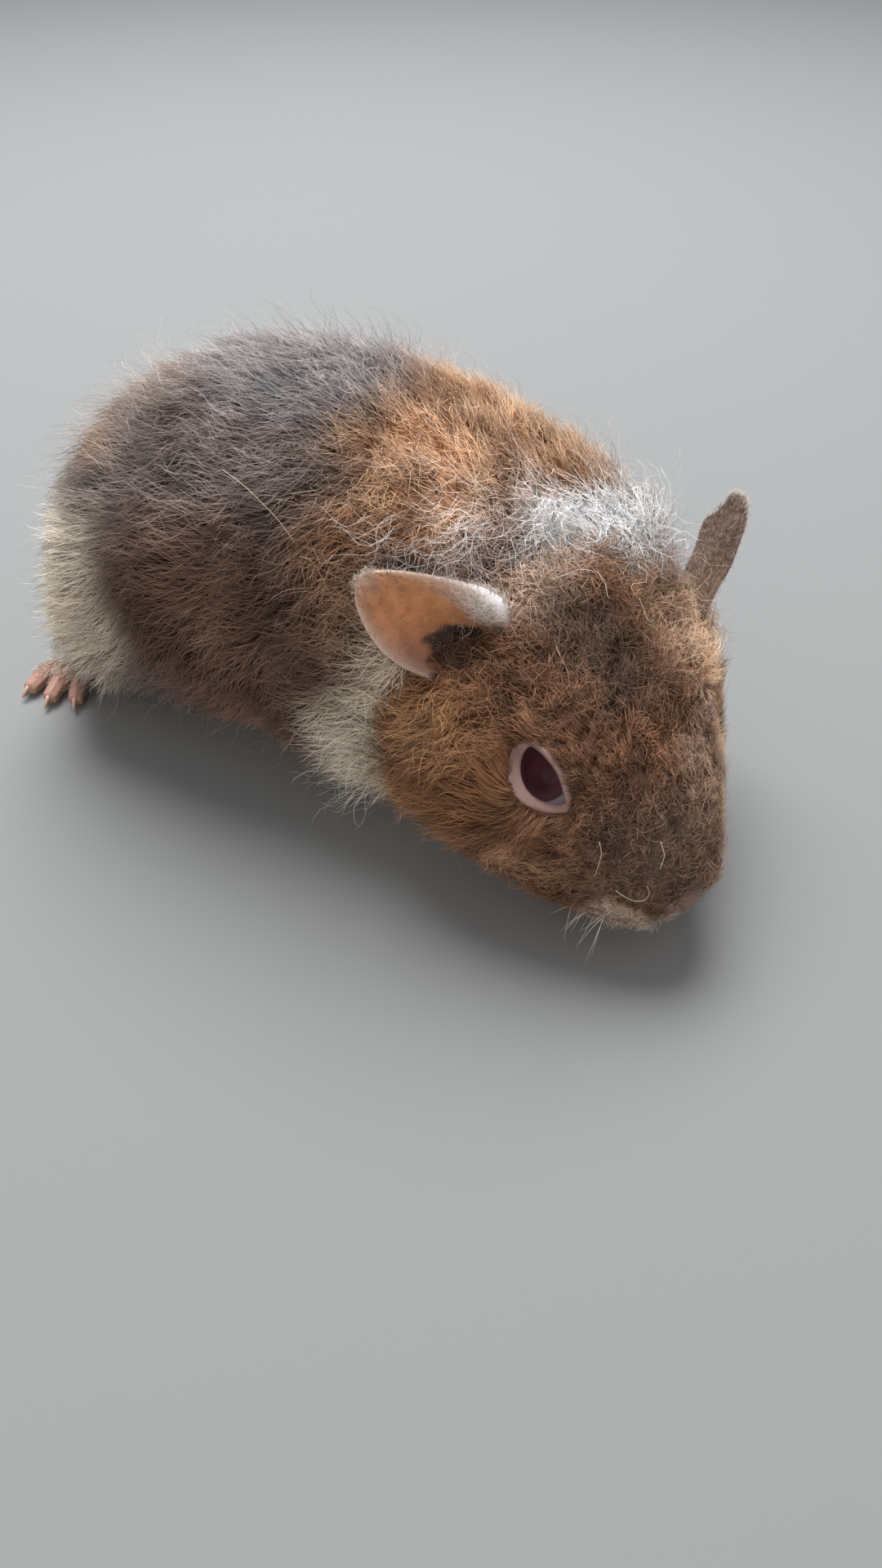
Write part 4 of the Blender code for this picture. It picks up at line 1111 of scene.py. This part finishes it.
def ear_colours(name, points):
    """Orange-pink and pale at the rim inside, with painted shade in its hollows and toward its root;
    grey-brown felt behind.
    """
    local, t, w = ear_places(name, points)
    edge = clipped(np.maximum(np.abs(w), (t - 0.55) / 0.45))[:, None]
    flesh = np.array(EAR_FLESH) * (1 - 0.25 * wander(local, 4.0, 61)[:, None])
    lower_side = clipped(w + 0.1)[:, None] * clipped(1.6 - 1.8 * t)[:, None]
    flesh = mix(flesh, EAR_LOWER, lower_side) * (1 + 0.10 * wander(local, 1.2, 63)[:, None])
    inside = mix(flesh, EAR_RIM, edge ** 6)
    # painted shade: the inside darker toward the root, deep in the cup
    inside = inside * (1 - 0.35 * clipped(1 - t * 1.6)[:, None])
    for place, size, dark in EAR_SHADED_HOLLOWS:
        reach = np.linalg.norm((np.stack([t, w], axis=1) - place) / size, axis=1)
        weight = clipped((1.15 - reach + 0.55 * wander(local, 1.9, 67)) / 0.35)[:, None]
        inside = mix(inside, dark, weight)
    behind = np.array(EAR_BEHIND) * (1 + 0.2 * wander(local, 3.0, 71)[:, None])
    fold = ear_fold(name, t, w)[:, None]
    return (mix(side, WHITE, fold) for side in (inside, behind))


ear_material, ear_shader = material(
    "ear_skin", roughness=0.82, Specular_IOR_Level=0.25,
    Subsurface_Weight=0.15, Subsurface_Radius=FLESH_GLOW)
from_attribute(ear_material, ear_shader, "coat")
add_bump(ear_material, ear_shader, 1100.0, 0.45, 0.0005)
EAR_HAIR_COUNT = 2500
# at the root and at the tip of a hair: inside the ear, behind it, and on its pale fold
EAR_HAIR_COLOURS = (
    ((0.46, 0.22, 0.12), (0.19, 0.125, 0.092), (0.78, 0.66, 0.56)),
    ((0.68, 0.42, 0.27), (0.37, 0.265, 0.200), (0.97, 0.91, 0.84)),
)


def ear_fuzz(name, points, normals, facing):
    """Short hairs, denser behind the ear and on its rim, and a pale fold of fur on its upper edge."""
    chance = np.random.default_rng(SEED + 5)
    axes = HEAD_AXES @ ear_axes(name)
    _, t, w = ear_places(name, points)
    rim = clipped((np.maximum(np.abs(w), (t - 0.6) / 0.4) - 0.80) / 0.15)
    fold = ear_fold(name, t, w)
    weight = np.where(facing, 0.30, 1.0) * (1 - rim) + 0.5 * rim + 7.0 * fold
    chosen = chance.choice(len(points), EAR_HAIR_COUNT, p=weight / weight.sum())
    roots, outward, fold, rim = points[chosen], normals[chosen], fold[chosen, None], rim[chosen, None]
    roots = roots + chance.normal(0, 0.14, roots.shape)
    lie = axes[:, 0] + chance.normal(0, 0.45, roots.shape) + outward * 0.3
    size = chance.uniform(0.6, 1.2, EAR_HAIR_COUNT)
    pale = np.maximum(0.55 * rim, fold)
    base, tip = (mix(np.where(facing[chosen, None], inner, outer), light, pale)
                 for inner, outer, light in EAR_HAIR_COLOURS)
    short_hairs(
        f"ear_hair_{name}", EAR_HAIR, chance, roots, outward, lie, size,
        rise=0.30 - 0.15 * rim[:, 0] + 0.65 * fold[:, 0], drift=1.6 - 0.9 * rim[:, 0] + 1.0 * fold[:, 0],
        near_skin=base, at_tips=tip, on_head=1.0, order=t[chosen],
    )


for ear_name in EARS:
    ear = make_ear(ear_name)
    ear_points = mesh_points(ear)
    inside, behind = ear_colours(ear_name, ear_points)
    ear_normals = vertex_normals(ear)
    facing = (ear_normals @ HEAD_AXES @ ear_axes(ear_name))[:, 2] > 0.0
    colour_points(ear, np.where(facing[:, None], inside, behind))
    wear(ear, ear_material, "ear_skin", f"ear_{ear_name}")
    ear_fuzz(ear_name, ear_points, ear_normals, facing)


# Eyes

eye_material, eye_shader = material("eye", roughness=0.14, Specular_IOR_Level=0.07)
from_attribute(eye_material, eye_shader, "coat")
lid_material, lid_shader = material("eye_lid", (0.34, 0.205, 0.175), 0.5)
add_bump(lid_material, lid_shader, 1800.0, 0.35, 0.0003)
EYE_DARK = (0.030, 0.0080, 0.0110)
EYE_IRIS = (0.060, 0.024, 0.030)
# the eye's white at the corner toward the nose, with a painted sheen on it
EYE_WHITE_SHEEN = (0.19, 0.175, 0.20)
# the pupil's middle on the eye's flat, then where the iris and the white begin and how softly
PUPIL_PLACE = (-0.8, 0.35)
IRIS_FROM, IRIS_SOFT = 2.2, 1.5
WHITE_FROM, WHITE_SOFT = 4.45, 0.3
EYE_BULGE = 0.15
EYE_GRID = (96, 64)
LID_STEPS = 64
RAY_HEIGHT = 14.0
# the inner lip: how far out of the opening's edge, and how high over the ball
LID_LIP = ((-0.30, -0.5), (-0.14, 0.10), (0.10, 0.40))
# the rest: how far out, how high over the opening's edge, and how high over the skin
LID_SLOPE = (
    (0.4, 0.58, 0.28), (0.8, 0.66, 0.30), (1.15, 0.45, 0.26), (1.45, -2.0, -0.20), (1.5, -3.0, -0.9),
)
# the hidden underside: how far out of the opening's edge, and how deep
LID_UNDERSIDE = (0.4, 1.2)


def eye_colours(head_points, side):
    """Dark wine, and pale at the corner toward the nose, where the white shows, lightened by a painted
    sheen.
    """
    spots = in_eye(head_points, side)[:, :2]
    reach = np.linalg.norm(spots - PUPIL_PLACE, axis=1)[:, None]
    iris = clipped((reach - IRIS_FROM) / IRIS_SOFT)
    pale = clipped((reach - WHITE_FROM) / WHITE_SOFT)
    return mix(mix(EYE_DARK, EYE_IRIS, iris), EYE_WHITE_SHEEN, pale)


SKIN_TREE = BVHTree.FromPolygons(SKIN_POINTS.tolist(), SKIN_TRIANGLES.tolist())


def skin_height(spot, side):
    """How high the skin stands at a flat place beside the eye."""
    axes = eye_axes(side)
    above = in_head(mirrored(EYE_CENTRE, side) + axes @ np.array((*spot, RAY_HEIGHT)))[0]
    hit = SKIN_TREE.ray_cast(above.tolist(), (-HEAD_AXES @ axes[:, 2]).tolist())[3]
    return RAY_HEIGHT - hit


def make_lids(name, side):
    axes = eye_axes(side)
    centre = mirrored(EYE_CENTRE, side)
    rings = []
    for turn in np.linspace(0, 2 * np.pi, LID_STEPS, endpoint=False):
        flat = almond(np.array([turn]))[0]
        outward = unit(flat)
        rim = rim_height(np.array([turn]))[0]
        ring = []
        for edge, height in LID_LIP:
            spot = flat + outward * edge
            on_ball = math.sqrt(max((EYE_RADIUS + height) ** 2 - spot.dot(spot), 0.3))
            ring.append(centre + axes @ np.array((*spot, on_ball)))
        for edge, over_rim, over_skin in LID_SLOPE:
            spot = flat + outward * edge * lid_width(turn)
            height = max(rim + over_rim, skin_height(spot, side) + over_skin)
            ring.append(centre + axes @ np.array((*spot, height)))
        under, depth = LID_UNDERSIDE
        ring.append(centre + axes @ np.array((*(flat + outward * under), rim - depth)))
        rings.append(in_head(ring))
    return mesh_piece(name, np.concatenate(rings), ring_faces(len(rings), len(rings[0]), True))


for side, eye_name in ((-1, "right"), (1, "left")):
    radii = (EYE_RADIUS, EYE_RADIUS, EYE_RADIUS + EYE_BULGE)
    ball = mesh_piece(
        f"eyeball_{eye_name}", *head_ball(mirrored(EYE_CENTRE, side), radii, eye_axes(side), *EYE_GRID))
    colour_points(ball, eye_colours(to_head(mesh_points(ball)), side))
    wear(ball, eye_material, "eye_dark", f"eye_{eye_name}")
    wear(make_lids(f"lids_{eye_name}", side), lid_material, "nose_skin")


# Nose and mouth

nose_material, nose_shader = material("nose_leather", (0.20, 0.115, 0.090), 0.45)
add_bump(nose_material, nose_shader, 2600.0, 0.35, 0.0003)


NOSE_PLACE = (59.5, 0.0, -2.6)
NOSE_SIZE = (2.8, 4.1, 3.3)
NOSE_GRID = (64, 48)
NOSTRIL_PLACE = (62.0, 2.1, -2.3)
NOSTRIL_SIZE = (1.6, 0.7, 1.15)
NOSTRIL_LEAN = 0.45
NOSTRIL_DEPTH = 1.35
CLEFT_WIDTH = 0.35
CLEFT_DEPTH = 0.5


def make_nose():
    points, faces = head_ball(NOSE_PLACE, NOSE_SIZE, None, *NOSE_GRID)
    local = to_head(points)
    for side in (-1, 1):
        hole = local - mirrored(NOSTRIL_PLACE, side)
        hole[:, 1] -= side * NOSTRIL_LEAN * hole[:, 2]
        reach = np.linalg.norm(hole / NOSTRIL_SIZE, axis=1)
        local[:, 0] -= NOSTRIL_DEPTH * clipped(1.3 - reach)
    low_half = clipped(-(local[:, 2] - NOSE_PLACE[2]) / 2.0)
    local[:, 0] -= CLEFT_DEPTH * np.exp(-(local[:, 1] / CLEFT_WIDTH) ** 2) * low_half
    return mesh_piece("nose_pad", in_head(local), faces)


wear(make_nose(), nose_material, "nose_skin", "nose")


# Feet

foot_material, foot_shader = material(
    "foot_skin", (0.40, 0.215, 0.160), 0.55, Subsurface_Weight=0.12, Subsurface_Radius=FLESH_GLOW)
add_bump(foot_material, foot_shader, 1500.0, 0.4, 0.0004)
claw_material, _ = material("claw_horn", (0.52, 0.34, 0.26), 0.35)
FOOT_HAIR = dict(levels=2, width=0.085, waves=0.5, wave=0.15)
FOOT_HAIR_COUNT = 1300
FOOT_HAIR_ROOT = (0.50, 0.37, 0.29)
FOOT_HAIR_TIP = (0.80, 0.67, 0.55)
FOOT_VOXEL = 0.28
FOOT_SMOOTHING = 6
HEEL_LENGTH = 4.0
# the toes as the solids have them: how far they reach into the sole, the share of its
# width that their roots span, how much shorter the outer ones are, and their radii
TOE_OVERLAP = 2.0
TOE_ROOTS = 0.78
OUTER_TOE = 0.35
TOE_RADIUS = {"forefoot": 1.4, "hindfoot": 1.85}
# a claw's bend, as forward and up from the toe's end, and its radius at each place
CLAW_BEND = ((-0.9, 0.55), (0.2, 0.55), (1.1, 0.25), (1.8, -0.20), (2.35, -0.75))
CLAW_RADII = (0.40, 0.52, 0.45, 0.33, 0.15)
CLAW_SIDES = 8


def foot_axes(turn):
    """Columns: toward the toes, across and up."""
    spin = math.radians(turn)
    return np.array((
        (math.cos(spin), -math.sin(spin), 0),
        (math.sin(spin), math.cos(spin), 0),
        (0, 0, 1),
    ))


def foot_fuzz(name, points, normals):
    """Short fur over the heel and the back of the foot, thinning out along the toes."""
    root, turn, (length, _), _, toe_length, _, _ = FEET[name]
    chance = np.random.default_rng(SEED + 12)
    axes = foot_axes(turn)
    along = (points - (*root, 0.0)) @ axes[:, 0]
    bare = clipped((along - (length - toe_length)) / (0.6 * toe_length))
    heel = clipped(1 - along / HEEL_LENGTH)
    facing = clipped(normals[:, 2] + 0.35 + 0.8 * heel)
    weight = facing * (points[:, 2] > 0.8) * (1 - bare) ** 1.5 * (1 + heel) + 1e-6
    chosen = chance.choice(len(points), FOOT_HAIR_COUNT, p=weight / weight.sum())
    roots, outward = points[chosen], normals[chosen]
    roots = roots + chance.normal(0, 0.15, roots.shape)
    lie = axes[:, 0] + chance.normal(0, 0.25, roots.shape)
    lie[:, 2] -= 0.15 + 0.9 * heel[chosen]
    size = chance.uniform(0.6, 1.2, FOOT_HAIR_COUNT) * (1.1 - 0.6 * bare[chosen])
    shade = chance.uniform(0.75, 1.15, FOOT_HAIR_COUNT)[:, None]
    short_hairs(
        f"foot_hair_{name}", FOOT_HAIR, chance, roots, outward, lie, size, rise=0.75, drift=3.2,
        near_skin=np.array(FOOT_HAIR_ROOT) * shade, at_tips=np.array(FOOT_HAIR_TIP) * shade,
        on_head=0.0, order=along[chosen],
    )


def make_claws(name):
    """A small curved claw over the end of each toe."""
    root, turn, (length, width), toes, toe_length, spread, toe_turn = FEET[name]
    axes = foot_axes(turn)
    radius = TOE_RADIUS[name.split("_")[0]]
    parts = []
    for number in range(toes):
        share = number / (toes - 1) - 0.5
        fan = share * spread + toe_turn
        forward = np.array((math.cos(fan), math.sin(fan), 0.0))
        start = np.array((length - toe_length - TOE_OVERLAP, share * width * TOE_ROOTS, radius))
        end = start + forward * (toe_length * (1.0 - OUTER_TOE * abs(share) ** 1.5) + TOE_OVERLAP)
        path = np.array([end + forward * reach + (0, 0, rise) for reach, rise in CLAW_BEND])
        path = path @ axes.T + (*root, 0.0)
        path[:, 2] = np.maximum(path[:, 2], LEAST_HEIGHT)
        parts.append(tube_data(path, CLAW_RADII, CLAW_SIDES))
    wear(mesh_piece(f"claws_{name}", *joined(parts)), claw_material, "foot_skin")


for foot_name in FEET:
    foot = remeshed(mesh_piece(f"{foot_name}_skin", *node_data(foot_name)), FOOT_VOXEL, FOOT_SMOOTHING)
    set_points(foot, np.maximum(mesh_points(foot), (-np.inf, -np.inf, 0.0)))
    wear(foot, foot_material, "foot_skin", foot_name)
    foot_fuzz(foot_name, mesh_points(foot), vertex_normals(foot))
    make_claws(foot_name)


# Whiskers and stray hairs

WHISKERS_A_SIDE = 14
WHISKER_RADIUS = 0.075
WHISKER_SAG = 0.35
WHISKER_CURL = 0.10
WHISKER_COLOUR = (0.75, 0.68, 0.60)
FINE_HAIR_SIDES = 5
FINE_HAIR_ROUGHNESS = 0.4
# the single hairs: the places along each, then the radius at its root and at its tip
LOOSE_HAIRS = (
    ((-20.4, -17.2, 64.5), (-16.3, -18.9, 63.2), (-12.6, -21.0, 61.6), (-9.5, -22.6, 60.0),
     (-6.9, -24.3, 57.8)),
    in_head(((20.5, 7.5, 22.1), (22.2, 7.4, 21.6), (23.7, 7.1, 21.0), (24.6, 7.5, 20.9),
             (24.1, 8.4, 20.8))),
    in_head(((49.1, -13.6, 6.0), (50.6, -13.6, 4.8), (51.6, -14.1, 2.9), (52.3, -14.4, 1.0))),
    in_head(((55.6, -12.2, 0.6), (57.6, -10.8, 0.0), (58.8, -9.3, 0.3), (58.9, -8.7, 1.6),
             (58.5, -8.5, 2.5), (57.6, -8.9, 3.2))),
    in_head(((53.7, -5.9, 8.3), (55.6, -6.0, 7.3), (56.8, -7.2, 6.0))),
)
LOOSE_HAIR_RADII = (0.055, 0.03)
LOOSE_HAIR_STEPS = 13
LOOSE_HAIR_COLOUR = (0.70, 0.58, 0.42)


def whiskers():
    """Fine hairs that hang from both sides of the muzzle."""
    chance = np.random.default_rng(SEED + 8)
    lines = []
    for side in (-1, 1):
        for _ in range(WHISKERS_A_SIDE):
            place = (chance.uniform(49, 57), side * chance.uniform(7.5, 10.5), chance.uniform(-10, -4))
            way = (chance.uniform(-0.3, 0.5), side * 0.45, chance.uniform(-1.0, -0.5))
            lines.append((in_head(place)[0], unit(HEAD_AXES @ np.array(way)), chance.uniform(5, 9.5)))
    curls = np.random.default_rng(SEED + 9)
    u = np.linspace(0, 1, 9)[:, None]
    parts = []
    for start, direction, length in lines:
        bend = np.array((0, 0, -WHISKER_SAG)) + curls.normal(0, WHISKER_CURL, 3)
        path = start + direction * length * u + bend * length * u ** 2
        path[:, 2] = np.maximum(path[:, 2], 0.4)
        parts.append(tube_data(path, WHISKER_RADIUS * (1.05 - u[:, 0]) ** 0.7, FINE_HAIR_SIDES))
    whisker_material, _ = material("whiskers", WHISKER_COLOUR, FINE_HAIR_ROUGHNESS)
    wear(mesh_piece("whiskers", *joined(parts)), whisker_material, "coat_white")


def stray_hairs():
    """A few long single hairs that lie loose on the coat."""
    parts = []
    for line in LOOSE_HAIRS:
        line = np.array(line)
        steps = np.linspace(0, len(line) - 1, LOOSE_HAIR_STEPS)
        rows = np.stack([np.interp(steps, np.arange(len(line)), line[:, k]) for k in range(3)], axis=1)
        rows[1:-1] = (rows[:-2] + rows[1:-1] + rows[2:]) / 3
        parts.append(tube_data(rows, np.linspace(*LOOSE_HAIR_RADII, LOOSE_HAIR_STEPS), FINE_HAIR_SIDES))
    hair_material, _ = material("pale_hair", LOOSE_HAIR_COLOUR, FINE_HAIR_ROUGHNESS)
    wear(mesh_piece("stray_hairs", *joined(parts)), hair_material, "coat_white")


whiskers()
stray_hairs()


# Stage, light and camera

FLOOR_REACH = 3.0
# each light: its place and size in metres, its power and its colour
LIGHTS = (
    ("window", (-0.15, 0.38, 0.85), 0.75, 16.5, (0.94, 0.97, 1.0)),
    ("room", (0.05, -0.85, 0.45), 0.9, 2.6, (1.0, 0.92, 0.84)),
)
LIT_POINT = (0, 0, 0.03)
WORLD_COLOUR = (0.92, 0.95, 1.0, 1.0)
WORLD_STRENGTH = 0.44
# fitted to the photograph, in body millimetres
CAMERA_PLACE = (51.48, -166.34, 149.35)
CAMERA_TARGET = (14.4, -17.6, 6.4)
CAMERA_LENS = 26.25


def look(item, place, target):
    item.location = place
    item.rotation_euler = (Vector(target) - Vector(place)).to_track_quat("-Z", "Y").to_euler()
    bpy.context.scene.collection.objects.link(item)


def make_stage():
    mesh = bpy.data.meshes.new("floor")
    corners = ((-1, -1), (1, -1), (1, 1), (-1, 1))
    mesh.from_pydata([(x * FLOOR_REACH, y * FLOOR_REACH, 0) for x, y in corners], [], [(0, 1, 2, 3)])
    floor = linked("floor", mesh)
    floor_material, floor_shader = material("pale_floor", (0.235, 0.235, 0.23), 0.9)
    add_bump(floor_material, floor_shader, 60.0, 0.05, 0.001)
    floor.data.materials.append(floor_material)


def area_light(name, place, size, power, colour):
    lamp = bpy.data.lights.new(name, "AREA")
    lamp.energy = power
    lamp.shape = "DISK"
    lamp.size = size
    lamp.color = colour
    look(bpy.data.objects.new(name, lamp), place, LIT_POINT)


make_stage()
for light in LIGHTS:
    area_light(*light)
world = bpy.data.worlds.new("soft_room")
world.use_nodes = True
background = world.node_tree.nodes["Background"].inputs
background["Color"].default_value = WORLD_COLOUR
background["Strength"].default_value = WORLD_STRENGTH
bpy.context.scene.world = world
bpy.context.scene.view_settings.view_transform = "Standard"

camera = bpy.data.cameras.new("camera")
camera.lens = CAMERA_LENS
camera.sensor_width = 36.0
camera.clip_start = 0.005
camera_object = bpy.data.objects.new("camera", camera)
look(camera_object, to_row(CAMERA_PLACE)[0], to_row(CAMERA_TARGET)[0])
bpy.context.scene.camera = camera_object
